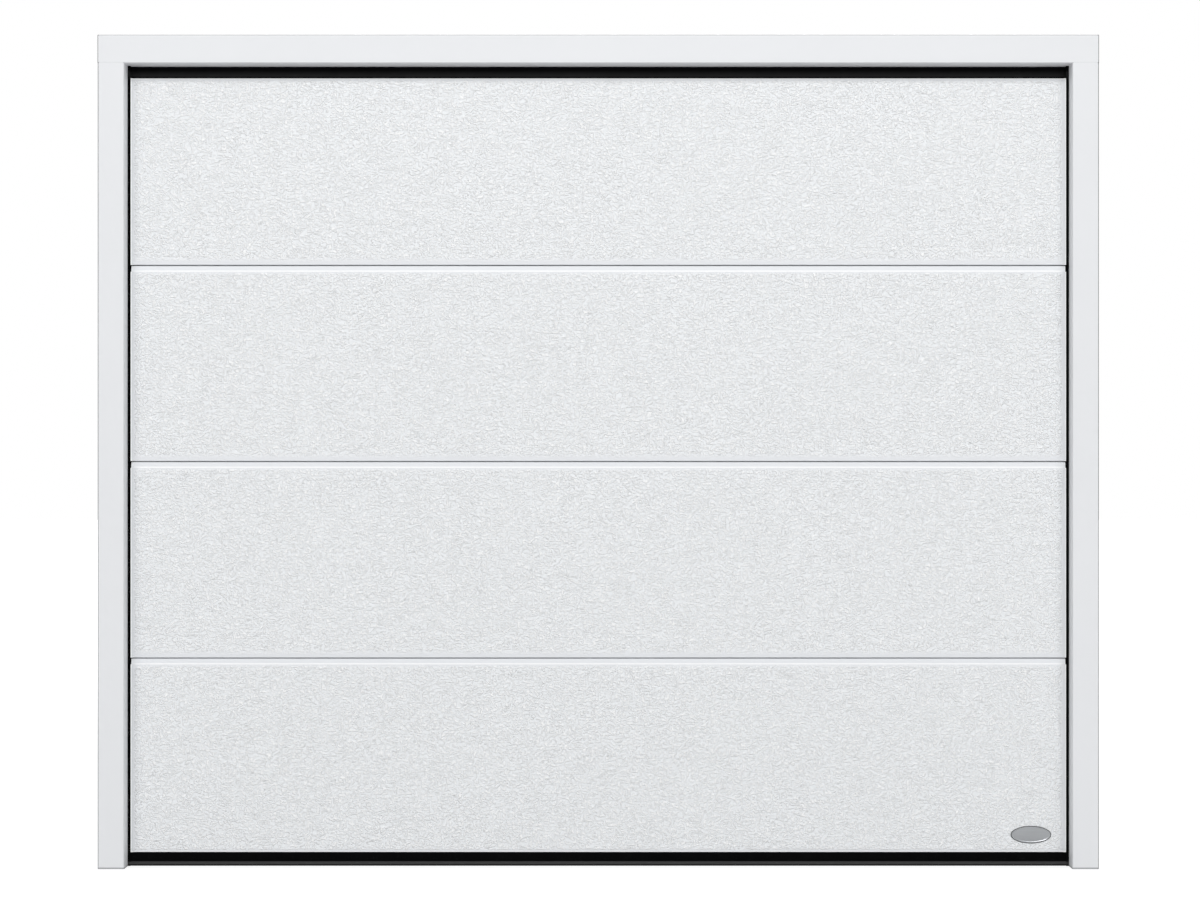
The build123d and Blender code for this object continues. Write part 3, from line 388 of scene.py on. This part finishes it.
# EPDM rubber: extruded and cured, matt black with a faint grain. The bulb that meets the floor is
# rubbed smooth and shines a little, and the lip over the leaf shows a fainter line.
def makeRubber():
    values = {
        "colour": "040405", "dustAndShade": "0B0B0C", "bulbShine": 0.9, "lipShine": 0.36, "leastShine": 0.02,
        "roughness": 0.6, "rubbedRoughness": 0.32,
        # mm
        "dustSize": 60.0, "grainSize": 1.6, "grainDepth": 0.1, "bulbLevel": 7.5, "rubbedFull": 1.0,
        "rubbedReach": 6.0, "lipBelowHead": 23.5, "lipHalf": 14.0,
    }
    material, tree, shader, place = startMaterial("black EPDM rubber")
    axes = addNode(tree, "ShaderNodeSeparateXYZ", {0: place})
    dustAndShade = addTexture(tree, "ShaderNodeTexNoise", place, values["dustSize"], {"Detail": 4.0})
    tone = addNode(tree, "ShaderNodeMix", {
        "Factor": dustAndShade, 6: values["colour"], 7: values["dustAndShade"]}, data_type="RGBA")
    grain = addTexture(tree, "ShaderNodeTexNoise", place, values["grainSize"], {"Detail": 2.0})
    bump = addNode(tree, "ShaderNodeBump", {
        "Height": grain, "Strength": 0.3, "Distance": values["grainDepth"] * mm})

    # how near a level is, up or down: from start to end the result goes from low to high
    def aroundLevel(level, start, end, low, high):
        away = addNode(tree, "ShaderNodeMath", {0: axes.outputs["Z"], 1: level}, operation="SUBTRACT")
        away = addNode(tree, "ShaderNodeMath", {0: away}, operation="ABSOLUTE")
        return addNode(tree, "ShaderNodeMapRange", {
            "Value": away, "From Min": start * mm, "From Max": end * mm, "To Min": low, "To Max": high})

    bulbZ = floorZ + values["bulbLevel"] * mm
    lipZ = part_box("lintel")[0][2] - values["lipBelowHead"] * mm
    rubbed = aroundLevel(bulbZ, values["rubbedFull"], values["rubbedReach"], 1.0, 0.0)
    lip = aroundLevel(lipZ, 0.0, values["lipHalf"], values["lipShine"], values["leastShine"])
    shine = addNode(tree, "ShaderNodeMapRange", {"Value": rubbed, "To Min": 0.0, "To Max": values["bulbShine"]})
    shine = addNode(tree, "ShaderNodeMath", {0: shine, 1: lip}, operation="MAXIMUM")
    dullness = addNode(tree, "ShaderNodeMapRange", {
        "Value": rubbed, "To Min": values["roughness"], "To Max": values["rubbedRoughness"]})
    setInputs(tree, shader, {
        "Base Color": tone, "Specular IOR Level": shine, "Roughness": dullness, "Normal": bump})
    return material


# Hot-dip galvanised steel: zinc that froze in flat crystals, each a little lighter or duller.
def makeGalvanised():
    values = {
        "light": "BFC3C6", "dark": "A2A7AB", "streakShare": 0.45, "smoothest": 0.38, "roughest": 0.52,
        "spangle": 11.0, "streak": 140.0, "relief": 0.05,  # mm
    }
    material, tree, shader, place = startMaterial("galvanised steel", Metallic=0.9)
    crystals = addTexture(tree, "ShaderNodeTexVoronoi", place, values["spangle"], {"Randomness": 1.0})
    cell = addNode(tree, "ShaderNodeSeparateColor", {0: crystals.outputs["Color"]})
    streaks = addTexture(tree, "ShaderNodeTexNoise", place, values["streak"], {"Detail": 3.0})
    blend = addNode(tree, "ShaderNodeMix", {"Factor": values["streakShare"], 2: cell, 3: streaks})
    tone = addNode(tree, "ShaderNodeMix", {
        "Factor": blend, 6: values["dark"], 7: values["light"]}, data_type="RGBA")
    dullness = addNode(tree, "ShaderNodeMapRange", {
        "Value": cell.outputs[1], "To Min": values["smoothest"], "To Max": values["roughest"]})
    bump = addNode(tree, "ShaderNodeBump", {
        "Height": crystals.outputs["Distance"], "Strength": 0.25, "Distance": values["relief"] * mm})
    setInputs(tree, shader, {"Base Color": tone, "Roughness": dullness, "Normal": bump})
    return material


# Bright metals of the small parts: each is one tone with a fine worked grain.
def makeWorkedMetal(name, light, dark, roughness, grain, relief):
    spread = 0.08  # of the roughness, either way
    material, tree, shader, place = startMaterial(name, Metallic=1.0)
    texture = addTexture(tree, "ShaderNodeTexNoise", place, grain, {"Detail": 4.0, "Roughness": 0.6})
    tone = addNode(tree, "ShaderNodeMix", {"Factor": texture, 6: dark, 7: light}, data_type="RGBA")
    dullness = addNode(tree, "ShaderNodeMapRange", {
        "Value": texture, "To Min": roughness - spread, "To Max": roughness + spread})
    bump = addNode(tree, "ShaderNodeBump", {"Height": texture, "Strength": 0.4, "Distance": relief * mm})
    setInputs(tree, shader, {"Base Color": tone, "Roughness": dullness, "Normal": bump})
    return material


# Nylon 6: injection moulded, off-white and slightly waxy, with a fine spark-eroded grain.
def makeNylon():
    values = {
        "colour": "E7E3D8", "shade": "DAD5C8", "roughness": 0.44,
        "grain": 1.2, "relief": 0.05,  # mm
    }
    material, tree, shader, place = startMaterial("off-white nylon", Roughness=values["roughness"])
    grain = addTexture(tree, "ShaderNodeTexNoise", place, values["grain"], {"Detail": 3.0})
    tone = addNode(tree, "ShaderNodeMix", {
        "Factor": grain, 6: values["shade"], 7: values["colour"]}, data_type="RGBA")
    bump = addNode(tree, "ShaderNodeBump", {
        "Height": grain, "Strength": 0.3, "Distance": values["relief"] * mm})
    setInputs(tree, shader, {"Base Color": tone, "Normal": bump})
    return material


# Galvanised steel cable: strands laid round each other show as slanted bands, drawn wider than real
# so that they show.
def makeStrandedSteel():
    values = {
        "light": "B4B7BA", "dark": "5E6164", "roughness": 0.42, "lean": 1.4,
        "lay": 7.0, "groove": 0.3,  # mm
    }
    material, tree, shader, place = startMaterial(
        "stranded steel cable", Metallic=1.0, Roughness=values["roughness"])
    axes = addNode(tree, "ShaderNodeSeparateXYZ", {0: place})
    along = addNode(tree, "ShaderNodeMath", {0: axes.outputs["Y"], 1: axes.outputs["Z"]}, operation="ADD")
    slant = addNode(tree, "ShaderNodeMath", {0: axes.outputs["X"], 1: values["lean"], 2: along},
                    operation="MULTIPLY_ADD")
    turns = addNode(tree, "ShaderNodeMath", {0: slant, 1: 2 * math.pi / (values["lay"] / 2 * mm)},
                    operation="MULTIPLY")
    wave = addNode(tree, "ShaderNodeMath", {0: turns}, operation="SINE")
    level = addNode(tree, "ShaderNodeMapRange", {"Value": wave, "From Min": -1.0})
    tone = addNode(tree, "ShaderNodeMix", {
        "Factor": level, 6: values["dark"], 7: values["light"]}, data_type="RGBA")
    bump = addNode(tree, "ShaderNodeBump", {
        "Height": level, "Strength": 0.8, "Distance": values["groove"] * mm})
    setInputs(tree, shader, {"Base Color": tone, "Normal": bump})
    return material


materials = {
    "frame_steel": makePowderCoat(),
    "leaf_steel": makeEmbossedSkin(),
    "seal_rubber": makeRubber(),
    "galvanised_steel": makeGalvanised(),
    # extruded and left as it came from the press, with lengthwise die lines
    "rail_aluminium": makeWorkedMetal("mill-finish aluminium", "C9CBCD", "B3B5B8", 0.36, (60, 1.2, 1.2), 0.03),
    # turned and zinc plated, with fine rings from the tool
    "plated_steel": makeWorkedMetal("zinc-plated steel", "C2C4C4", "A6A8A8", 0.3, (1.0, 6, 6), 0.03),
    # drawn wire, oil tempered: nearly black with a dull shine
    "spring_steel": makeWorkedMetal("oil-tempered spring wire", "4A4A4C", "2C2C2E", 0.36, (14, 3, 3), 0.05),
    # sand cast and shot blasted, an even coarse grain
    "cast_aluminium": makeWorkedMetal("shot-blasted cast aluminium", "B4B5B6", "949597", 0.52, 1.8, 0.2),
    "roller_nylon": makeNylon(),
    "cable_steel": makeStrandedSteel(),
}
for entry in frame["record"]["subparts"]:
    nodeObject = cadNodes[entry["node"]]
    nodeObject.data.materials.clear()
    nodeObject.data.materials.append(materials[entry["material_slot"]])
print("materials made")


# starts a geometry tree with named inputs: returns the tree, its group input and its sockets by name
def startTree(name, numbers):
    tree = bpy.data.node_groups.new(name, "GeometryNodeTree")
    tree.interface.new_socket("Geometry", in_out="INPUT", socket_type="NodeSocketGeometry")
    sockets = {}
    for label, value in numbers.items():
        kind = "NodeSocketInt" if isinstance(value, int) else "NodeSocketFloat"
        if isinstance(value, bool):
            kind = "NodeSocketBool"
        if isinstance(value, tuple):
            kind = "NodeSocketVector"
        if isinstance(value, bpy.types.Material):
            kind = "NodeSocketMaterial"
        sockets[label] = tree.interface.new_socket(label, in_out="INPUT", socket_type=kind)
    tree.interface.new_socket("Geometry", in_out="OUTPUT", socket_type="NodeSocketGeometry")
    return tree, tree.nodes.new("NodeGroupInput"), sockets


# ends a geometry tree: its instances are made real and get their material
def endTree(tree, shape, finish):
    real = addNode(tree, "GeometryNodeRealizeInstances", {0: shape})
    painted = addNode(tree, "GeometryNodeSetMaterial", {"Geometry": real, "Material": finish})
    addNode(tree, "NodeGroupOutput", {"Geometry": painted})


# runs a geometry tree on some points and returns its result as a plain mesh object
def runTree(name, points, tree, sockets, numbers):
    holder = bpy.data.meshes.new(name)
    holder.from_pydata([Vector(p) for p in points], [], [])
    holderObject = bpy.data.objects.new(name + "Points", holder)
    scene.collection.objects.link(holderObject)
    modifier = holderObject.modifiers.new("shape", "NODES")
    modifier.node_group = tree
    for label, value in numbers.items():
        modifier[sockets[label].identifier] = value
    graph = bpy.context.evaluated_depsgraph_get()
    mesh = bpy.data.meshes.new_from_object(holderObject.evaluated_get(graph), depsgraph=graph)
    mesh.name = name
    holderObject.modifiers.remove(modifier)
    bpy.data.objects.remove(holderObject)
    made = bpy.data.objects.new(name, mesh)
    scene.collection.objects.link(made)
    return made


# gives a finished piece its place in the frame
def keepPiece(made):
    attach(made, "root")
    return made


# makes a piece from points and faces, smooth where its faces meet below the sharp angle, if one is given
def makeFromFaces(name, slot, points, faces, sharpAngle=None):
    mesh = bpy.data.meshes.new(name)
    mesh.from_pydata(points, [], faces)
    if sharpAngle is not None:
        for polygon in mesh.polygons:
            polygon.use_smooth = True
        mesh.set_sharp_from_angle(angle=math.radians(sharpAngle))
    mesh.materials.append(materials[slot])
    made = bpy.data.objects.new(name, mesh)
    scene.collection.objects.link(made)
    keepPiece(made)


# Screws and bolts: a hexagon head with a chamfered top on a round flange, set on its points
fastenerDefaults = {
    "acrossFlats": 8.0 * mm, "headHeight": 4.0 * mm, "flangeRadius": 6.5 * mm, "flangeHeight": 1.0 * mm,
    "seed": 3, "facing": (0.0, 0.0, 0.0), "finish": materials["plated_steel"],
}
innerShare, bevelShare = 0.8, 0.16  # of the head's corner radius and of its height


def buildFastenerTree():
    tree, given, sockets = startTree("fasteners", fastenerDefaults)
    size = given.outputs
    corner = addNode(tree, "ShaderNodeMath", {0: size["acrossFlats"], 1: math.sqrt(3)}, operation="DIVIDE")
    flange = addNode(tree, "GeometryNodeMeshCylinder", {
        "Vertices": 24, "Radius": size["flangeRadius"], "Depth": size["flangeHeight"]})
    head = addNode(tree, "GeometryNodeMeshCylinder", {
        "Vertices": 6, "Radius": corner, "Depth": size["headHeight"]})
    inner = addNode(tree, "ShaderNodeMath", {0: corner, 1: innerShare}, operation="MULTIPLY")
    bevel = addNode(tree, "ShaderNodeMath", {0: size["headHeight"], 1: bevelShare}, operation="MULTIPLY")
    top = addNode(tree, "GeometryNodeMeshCone", {
        "Vertices": 6, "Radius Bottom": corner, "Radius Top": inner, "Depth": bevel})
    halfFlange = addNode(tree, "ShaderNodeMath", {0: size["flangeHeight"], 1: 0.5}, operation="MULTIPLY")
    halfHead = addNode(tree, "ShaderNodeMath", {0: size["headHeight"], 1: 0.5, 2: size["flangeHeight"]},
                       operation="MULTIPLY_ADD")
    topLevel = addNode(tree, "ShaderNodeMath", {0: size["headHeight"], 1: size["flangeHeight"]},
                       operation="ADD")
    joined = tree.nodes.new("GeometryNodeJoinGeometry")
    for shape, level in ((flange, halfFlange), (head, halfHead), (top, topLevel)):
        lift = addNode(tree, "ShaderNodeCombineXYZ", {"Z": level})
        lifted = addNode(tree, "GeometryNodeTransform", {
            "Geometry": shape.outputs["Mesh"], "Translation": lift})
        tree.links.new(lifted.outputs[0], joined.inputs[0])
    spin = addNode(tree, "FunctionNodeRandomValue", {"Max": 2 * math.pi, "Seed": size["seed"]},
                   data_type="FLOAT")
    spinVector = addNode(tree, "ShaderNodeCombineXYZ", {"Z": spin.outputs[1]})
    placed = addNode(tree, "GeometryNodeInstanceOnPoints", {"Points": size["Geometry"], "Instance": joined})
    faced = addNode(tree, "GeometryNodeRotateInstances", {"Instances": placed, "Rotation": size["facing"]})
    spun = addNode(tree, "GeometryNodeRotateInstances", {"Instances": faced, "Rotation": spinVector})
    endTree(tree, spun, size["finish"])
    return tree, sockets


fastenerTree, fastenerSockets = buildFastenerTree()
facings = {
    "back": (-math.pi / 2, 0.0, 0.0), "front": (math.pi / 2, 0.0, 0.0),
    "right": (0.0, math.pi / 2, 0.0), "left": (0.0, -math.pi / 2, 0.0),
    "up": (0.0, 0.0, 0.0), "down": (math.pi, 0.0, 0.0),
}


def makeFasteners(name, points, facing, **changes):
    numbers = dict(fastenerDefaults, facing=facings[facing], **changes)
    keepPiece(runTree(name, points, fastenerTree, fastenerSockets, numbers))


# the same points mirrored to the left
def mirrored(points):
    return [(-x, y, z) for x, y, z in points]


def bothSides(points):
    return mirrored(points) + points


# heads outside the plates of the right and of the left
def makeOutwardPair(name, points, **changes):
    makeFasteners("right" + name, points, "right", **changes)
    makeFasteners("left" + name, mirrored(points), "left", **changes)


# Screws in the hinges and roller brackets, all driven from inside
def makeLeafScrews():
    values = {
        "acrossFlats": 8.0 * mm, "halfHinge": 30.0 * mm, "sheet": 2.5 * mm, "rows": (30.0 * mm, 52.0 * mm),
        "lowerSpread": 20.0 * mm, "upperSpread": 16.0 * mm, "bottomInset": 12.0 * mm, "topInset": 10.0 * mm,
    }
    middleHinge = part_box("hinge_upper_leaves")[1][0] - values["halfHinge"]
    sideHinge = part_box("hinge_lower_leaves")[1][0] - values["halfHinge"]
    middleSeat, sideSeat = leafBack + values["sheet"], capHigh[1] + values["sheet"]
    points = []
    for level in jointLevels:
        for x, seat in ((-sideHinge, sideSeat), (-middleHinge, middleSeat), (middleHinge, middleSeat),
                        (sideHinge, sideSeat)):
            for row in values["rows"]:
                for side in (-1, 1):
                    points.append((x + side * values["lowerSpread"], seat, level - row))
                    points.append((x + side * values["upperSpread"], seat, level + row))
    for node, inset in (("bottom_brackets", values["bottomInset"]), ("top_brackets", values["topInset"])):
        low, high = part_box(node)
        for x in (-sideHinge, sideHinge):
            for z in (low[2] + inset, high[2] - inset):
                points += [(x + side * values["upperSpread"], sideSeat, z) for side in (-1, 1)]
    makeFasteners("leafScrews", points, "back", acrossFlats=values["acrossFlats"])


# Screws from the track brackets and flag plates into the back of the frame
def makeFrameScrews():
    values = {
        "fromEdge": 26.0 * mm, "sheet": 3.0 * mm, "bracketHeight": 60.0 * mm, "rises": (15.0 * mm, 45.0 * mm),
        "flagShares": (0.04, 0.3, 0.56, 0.82, 0.96),
        "head": {"acrossFlats": 10.0 * mm, "flangeRadius": 8.0 * mm},
    }
    low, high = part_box("track_brackets")
    flagLow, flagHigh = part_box("right_flag_plate")
    x, seat = high[0] - values["fromEdge"], frameBack + values["sheet"]
    lowest, highest = low[2], high[2] - values["bracketHeight"]
    levels = [base + rise for base in (lowest, (lowest + highest) / 2, highest) for rise in values["rises"]]
    levels += [flagLow[2] + share * (flagHigh[2] - flagLow[2]) for share in values["flagShares"]]
    makeFasteners("frameScrews", bothSides([(x, seat, level) for level in levels]), "back", **values["head"])


# Bolts through the plates and hangers into the tracks, with their heads outside
def makeTrackBolts():
    values = {
        "halfBracket": 30.0 * mm, "slotPitch": 75.0 * mm, "fromRailEnd": 22.0 * mm, "hangerSheet": 2.5 * mm,
        "middleSetIn": 3.0 * mm, "crossbarRise": 20.0 * mm,
        "head": {"acrossFlats": 13.0 * mm, "headHeight": 5.5 * mm, "flangeRadius": 10.0 * mm,
                 "flangeHeight": 1.6 * mm},
    }
    low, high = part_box("track_brackets")
    pitch, sheet, rise = values["slotPitch"], values["hangerSheet"], values["crossbarRise"]
    points = [(plateOutside, rollerY, z) for z in (
        low[2] + values["halfBracket"], (low[2] + high[2]) / 2, high[2] - values["halfBracket"],
        curveZ - pitch / 2, curveZ + pitch / 2)]
    points += [(plateOutside, rollerY + i * pitch, upperRailZ) for i in (1, 2)]
    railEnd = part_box("right_upper_rail")[1][1]
    for level in (upperRailZ, lowerRailZ):
        points.append((plateOutside, railEnd - values["fromRailEnd"], level))
        for node, setIn in (("middle_hangers", values["middleSetIn"]), ("rear_hangers", 0.0)):
            points.append((plateOutside - setIn + sheet, middleOf(node, 1) + sheet / 2, level))
    crossbarY, crossbarZ = middleOf("rear_crossbar", 1), middleOf("rear_crossbar", 2)
    points += [(plateOutside, crossbarY, crossbarZ - rise), (plateOutside, crossbarY, crossbarZ + rise)]
    makeOutwardPair("TrackBolts", points, **values["head"])


# Screws up into the ceiling through the feet of the hangers
def makeCeilingScrews():
    values = {
        "halfSpacing": 18.0 * mm, "fromEdge": 21.0 * mm, "sheet": 3.0 * mm,
        "head": {"acrossFlats": 11.0 * mm, "headHeight": 5.0 * mm, "flangeRadius": 8.0 * mm},
    }
    points = []
    for node in ("middle_hangers", "rear_hangers"):
        x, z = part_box(node)[1][0] - values["fromEdge"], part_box(node)[1][2] - values["sheet"]
        points += [(x, middleOf(node, 1) + side * values["halfSpacing"], z) for side in (-1, 1)]
    makeFasteners("ceilingScrews", bothSides(points), "down", **values["head"])


# Bolts round the shaft's end bearings and in the foot of the centre bracket
def makeBearingBolts():
    values = {
        "count": 3, "circleRadius": 18.8 * mm,
        "footSpread": 28.0 * mm, "footRise": 22.0 * mm, "footSheet": 3.0 * mm,
        "bearingHead": {"acrossFlats": 7.0 * mm, "flangeRadius": 4.6 * mm, "flangeHeight": 0.8 * mm},
        "footHead": {"acrossFlats": 13.0 * mm, "headHeight": 5.5 * mm, "flangeRadius": 10.0 * mm},
    }
    ring, radius = [], values["circleRadius"]
    for step in range(values["count"]):
        angle = math.pi / 2 + step * 2 * math.pi / values["count"]
        ring.append((plateOutside, shaftY + radius * math.cos(angle), shaftZ + radius * math.sin(angle)))
    makeOutwardPair("BearingBolts", ring, **values["bearingHead"])
    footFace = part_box("rear_crossbar")[1][1] + values["footSheet"]
    middle = middleOf("centre_bearing_bracket", 2)
    foot = [(values["footSpread"], footFace, middle + side * values["footRise"]) for side in (-1, 1)]
    makeFasteners("footBolts", bothSides(foot), "back", **values["footHead"])


# Set screws that grip the shaft in the drums and winding cones
def makeSetScrews():
    values = {
        "hubRadius": 22.0 * mm, "fromDrumEnd": 4.5 * mm, "collarRadius": 31.0 * mm, "fromConeEnd": 10.0 * mm,
        "drumHead": {"acrossFlats": 6.0 * mm, "flangeRadius": 3.6 * mm, "headHeight": 9.0 * mm},
        "coneHead": {"acrossFlats": 9.0 * mm, "flangeRadius": 5.6 * mm, "headHeight": 9.0 * mm},
    }
    hub, collar = values["hubRadius"], values["collarRadius"]
    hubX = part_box("cable_drums")[1][0] - values["fromDrumEnd"]
    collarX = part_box("spring_cones")[1][0] - values["fromConeEnd"]
    for name, x, y, z, facing, head in (
        ("drumScrewsTop", hubX, shaftY, shaftZ + hub, "up", "drumHead"),
        ("drumScrewsBack", hubX, shaftY + hub, shaftZ, "back", "drumHead"),
        ("coneScrewsBack", collarX, shaftY + collar, shaftZ, "back", "coneHead"),
        ("coneScrewsFront", collarX, shaftY - collar, shaftZ, "front", "coneHead"),
    ):
        makeFasteners(name, bothSides([(x, y, z)]), facing, **values[head])


# Blind rivets that hold the caps' flanges to the inner skin
def makeCapRivets():
    values = {
        "fromEdge": 10.0 * mm, "firstRise": 95.0 * mm, "count": 4,
        "head": {"acrossFlats": 2.4 * mm, "headHeight": 0.5 * mm, "flangeRadius": 3.3 * mm,
                 "flangeHeight": 0.9 * mm},
    }
    x, y, gaps = capLow[0] + values["fromEdge"], capHigh[1], values["count"] - 1
    points = []
    for name in sectionNames:
        low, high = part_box(name)
        first, last = low[2] + values["firstRise"], high[2] - values["firstRise"]
        points += [(x, y, first + (last - first) * i / gaps) for i in range(gaps + 1)]
    makeFasteners("capRivets", bothSides(points), "back", **values["head"])


makeLeafScrews()
makeFrameScrews()
makeTrackBolts()
makeCeilingScrews()
makeBearingBolts()
makeSetScrews()
makeCapRivets()
print("fasteners made")


# Welds, ground flush and painted, that fill the groove between each jamb's end and the rounded edge
# of the lintel on it, in front and behind
def makeCornerWelds():
    values = {"arcSteps": 6, "corner": 3.0, "below": 0.3, "clear": 0.04}  # last three in mm
    jambTop, inside = frameHigh[2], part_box("right_jamb")[0][0]
    reach, radius = values["corner"], values["corner"] + values["clear"]
    # the groove's section: distances behind the frame's face and above the jamb's top, in mm
    section = [(values["below"], values["clear"])]
    widest = math.asin((reach - values["below"]) / radius)
    for step in range(values["arcSteps"] + 1):
        angle = widest * (1 - step / values["arcSteps"])
        rise = max(reach - radius * math.cos(angle), values["clear"])
        section.append((reach - radius * math.sin(angle), rise))
    points, faces, count = [], [], len(section)
    for side in (-1, 1):
        for face, inward in ((frameFront, 1), (frameBack, -1)):
            first = len(points)
            for x in (inside + reach * mm, frameSide - reach * mm):
                points += [(side * x, face + inward * depth * mm, jambTop + rise * mm)
                           for depth, rise in section]
            weld = [[first + count + step for step in range(count)]]
            weld.append([first + step for step in range(count)][::-1])
            for step in range(count):
                following = (step + 1) % count
                weld.append([first + step, first + following, first + count + following, first + count + step])
            # mirrored twice or not at all, its faces are turned so that they look outward
            faces += [corners[::-1] for corners in weld] if side * inward > 0 else weld
    makeFromFaces("cornerWelds", "frame_steel", points, faces)


makeCornerWelds()
print("welds made")


# Oval plate at the leaf's lower right corner: thin pressed sheet, left bare, on a thin rubber pad
def makeOvalPlate():
    values = {
        "x": 1.149, "aboveFloor": 0.0833,  # m
        "width": 107.5, "height": 46.0, "padShows": 1.6, "overlap": 1.0,  # mm
        "steps": 96,
        # rings from the outline inward: insets and heights above the leaf, in mm
        "pad": ((0.0, 0.0), (0.0, 0.8), (0.3, 1.0)),
        "plate": ((0.0, 1.0), (0.0, 1.5), (0.8, 2.2), (2.4, 2.2), (3.4, 1.7), (9.0, 2.0), (16.0, 2.2)),
    }
    steps, middleZ = values["steps"], floorZ + values["aboveFloor"]
    padEnd = (values["padShows"] + values["overlap"], values["pad"][-1][1])
    for name, rings, inward, slot in (
        ("ovalPad", values["pad"] + (padEnd,), 0.0, "seal_rubber"),
        ("ovalPlate", values["plate"], values["padShows"], "rail_aluminium"),
    ):
        points, faces = [], []
        for inset, lift in rings:
            halfWidth = (values["width"] / 2 - inward - inset) * mm
            halfHeight = (values["height"] / 2 - inward - inset) * mm
            for step in range(steps):
                angle = 2 * math.pi * step / steps
                points.append((values["x"] + halfWidth * math.cos(angle), leafFront - lift * mm,
                               middleZ + halfHeight * math.sin(angle)))
        last = (len(rings) - 1) * steps
        for ring in range(0, last, steps):
            for step in range(steps):
                a, b = ring + step, ring + (step + 1) % steps
                faces.append((a, b, b + steps, a + steps))
        faces.append(list(range(last, last + steps)))
        faces.append(list(range(steps))[::-1])
        makeFromFaces(name, slot, points, faces)


makeOvalPlate()
print("plate made")


# Helices round the shaft, each made on the right and mirrored to the left
helixDefaults = {
    "turns": 3.0, "radius": 50.0 * mm, "length": 12.0 * mm, "wireRadius": 1.5 * mm, "steps": 48, "sides": 8,
    "backwards": False, "start": (1.0, 0.0, 0.0), "finish": materials["spring_steel"],
}


def buildHelixTree():
    tree, given, sockets = startTree("helix", helixDefaults)
    size = given.outputs
    helix = addNode(tree, "GeometryNodeCurveSpiral", {
        "Resolution": size["steps"], "Rotations": size["turns"], "Start Radius": size["radius"],
        "End Radius": size["radius"], "Height": size["length"], "Reverse": size["backwards"]})
    wire = addNode(tree, "GeometryNodeCurvePrimitiveCircle", {
        "Resolution": size["sides"], "Radius": size["wireRadius"]}, mode="RADIUS")
    swept = addNode(tree, "GeometryNodeCurveToMesh", {"Curve": helix, "Profile Curve": wire, "Fill Caps": True})
    laid = addNode(tree, "GeometryNodeTransform", {
        "Geometry": swept, "Translation": size["start"], "Rotation": (0, math.pi / 2, 0)})
    across = addNode(tree, "GeometryNodeTransform", {"Geometry": laid, "Scale": (-1, 1, 1)})
    turned = addNode(tree, "GeometryNodeFlipFaces", {0: across})
    joined = tree.nodes.new("GeometryNodeJoinGeometry")
    tree.links.new(laid.outputs[0], joined.inputs[0])
    tree.links.new(turned.outputs[0], joined.inputs[0])
    endTree(tree, joined, size["finish"])
    return tree, sockets


helixTree, helixSockets = buildHelixTree()


def makeHelix(name, slot, **changes):
    numbers = dict(helixDefaults, finish=materials[slot], **changes)
    helix = runTree(name, [(0, 0, 0)], helixTree, helixSockets, numbers)
    for polygon in helix.data.polygons:
        polygon.use_smooth = True
    return keepPiece(helix)


# Torsion springs: close-wound wire along the shaft, wound in opposite hands
def makeSpringCoils():
    values = {"wire": 6.0 * mm, "gap": 0.12 * mm, "start": 10.0 * mm, "steps": 18}
    low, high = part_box("torsion_springs")
    length, wireRadius = high[0] - values["start"], values["wire"] / 2
    coils = makeHelix(
        "springCoils", "spring_steel", turns=length / (values["wire"] + values["gap"]),
        radius=(high[2] - low[2]) / 2 - wireRadius, length=length - values["wire"], wireRadius=wireRadius,
        steps=values["steps"], start=(values["start"] + wireRadius, shaftY, shaftZ))
    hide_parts("torsion_springs")


# Drums: a raised thread guides the cable, whose last turns stay on the drum when the door is shut
def makeDrumTurns():
    values = {
        "pitch": 4.0 * mm, "cableRadius": 1.5 * mm, "cableTurns": 3.0, "cableSides": 10,
        "threadRadius": 1.0 * mm, "threadTurns": 9.0, "threadBefore": 4.5, "threadDepth": 1.6 * mm,
    }
    cableX = middleOf("right_cable", 0)
    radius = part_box("right_cable")[1][2] - shaftZ - values["cableRadius"]
    threadX = cableX - values["threadBefore"] * values["pitch"]
    makeHelix("drumThreads", "cast_aluminium", turns=values["threadTurns"],
              radius=radius - values["threadDepth"], length=values["threadTurns"] * values["pitch"],
              wireRadius=values["threadRadius"], backwards=True, start=(threadX, shaftY, shaftZ))
    makeHelix("cableTurns", "cable_steel", turns=values["cableTurns"], radius=radius,
              length=values["cableTurns"] * values["pitch"], wireRadius=values["cableRadius"],
              sides=values["cableSides"], backwards=True, start=(cableX, shaftY, shaftZ))


makeSpringCoils()
makeDrumTurns()
print("springs and cable turns wound")


# Turned rings on axes along X, each made on both sides: the profile is distances along X and radii
def makeRings(name, slot, centres, profile, steps=40):
    points, faces = [], []
    for side in (-1, 1):
        for centreX, centreY, centreZ in centres:
            first = len(points)
            for along, radius in profile:
                for step in range(steps):
                    angle = 2 * math.pi * step / steps
                    points.append((side * (centreX + along * mm), centreY + radius * mm * math.cos(angle),
                                   centreZ + radius * mm * math.sin(angle)))
            for ring in range(len(profile)):
                here, there = first + ring * steps, first + (ring + 1) % len(profile) * steps
                for step in range(steps):
                    following = (step + 1) % steps
                    corners = [here + step, here + following, there + following, there + step]
                    faces.append(corners[::-1] if side > 0 else corners)
    makeFromFaces(name, slot, points, faces, sharpAngle=35)


# Rollers: the steel shield of the ball race in each wheel
def makeRaceShields():
    values = {
        "wheelHalf": 7.0, "bottomRise": 23.0, "jointRise": 32.0,  # mm
        # distances along the axle from the wheel's middle, and radii, in mm
        "profile": ((-4.0, 10.2), (-4.0, 16.6), (-4.9, 16.6), (-5.1, 15.6), (-4.7, 14.6), (-4.7, 12.0),
                    (-5.1, 11.2), (-5.1, 10.2)),
    }
    low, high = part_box("rollers")
    x = high[0] - values["wheelHalf"] * mm
    levels = [low[2] + values["bottomRise"] * mm]
    levels += [level + values["jointRise"] * mm for level in jointLevels] + [upperRailZ]
    makeRings("raceShields", "plated_steel", [(x, rollerY, level) for level in levels], values["profile"])


makeRaceShields()
print("race shields made")
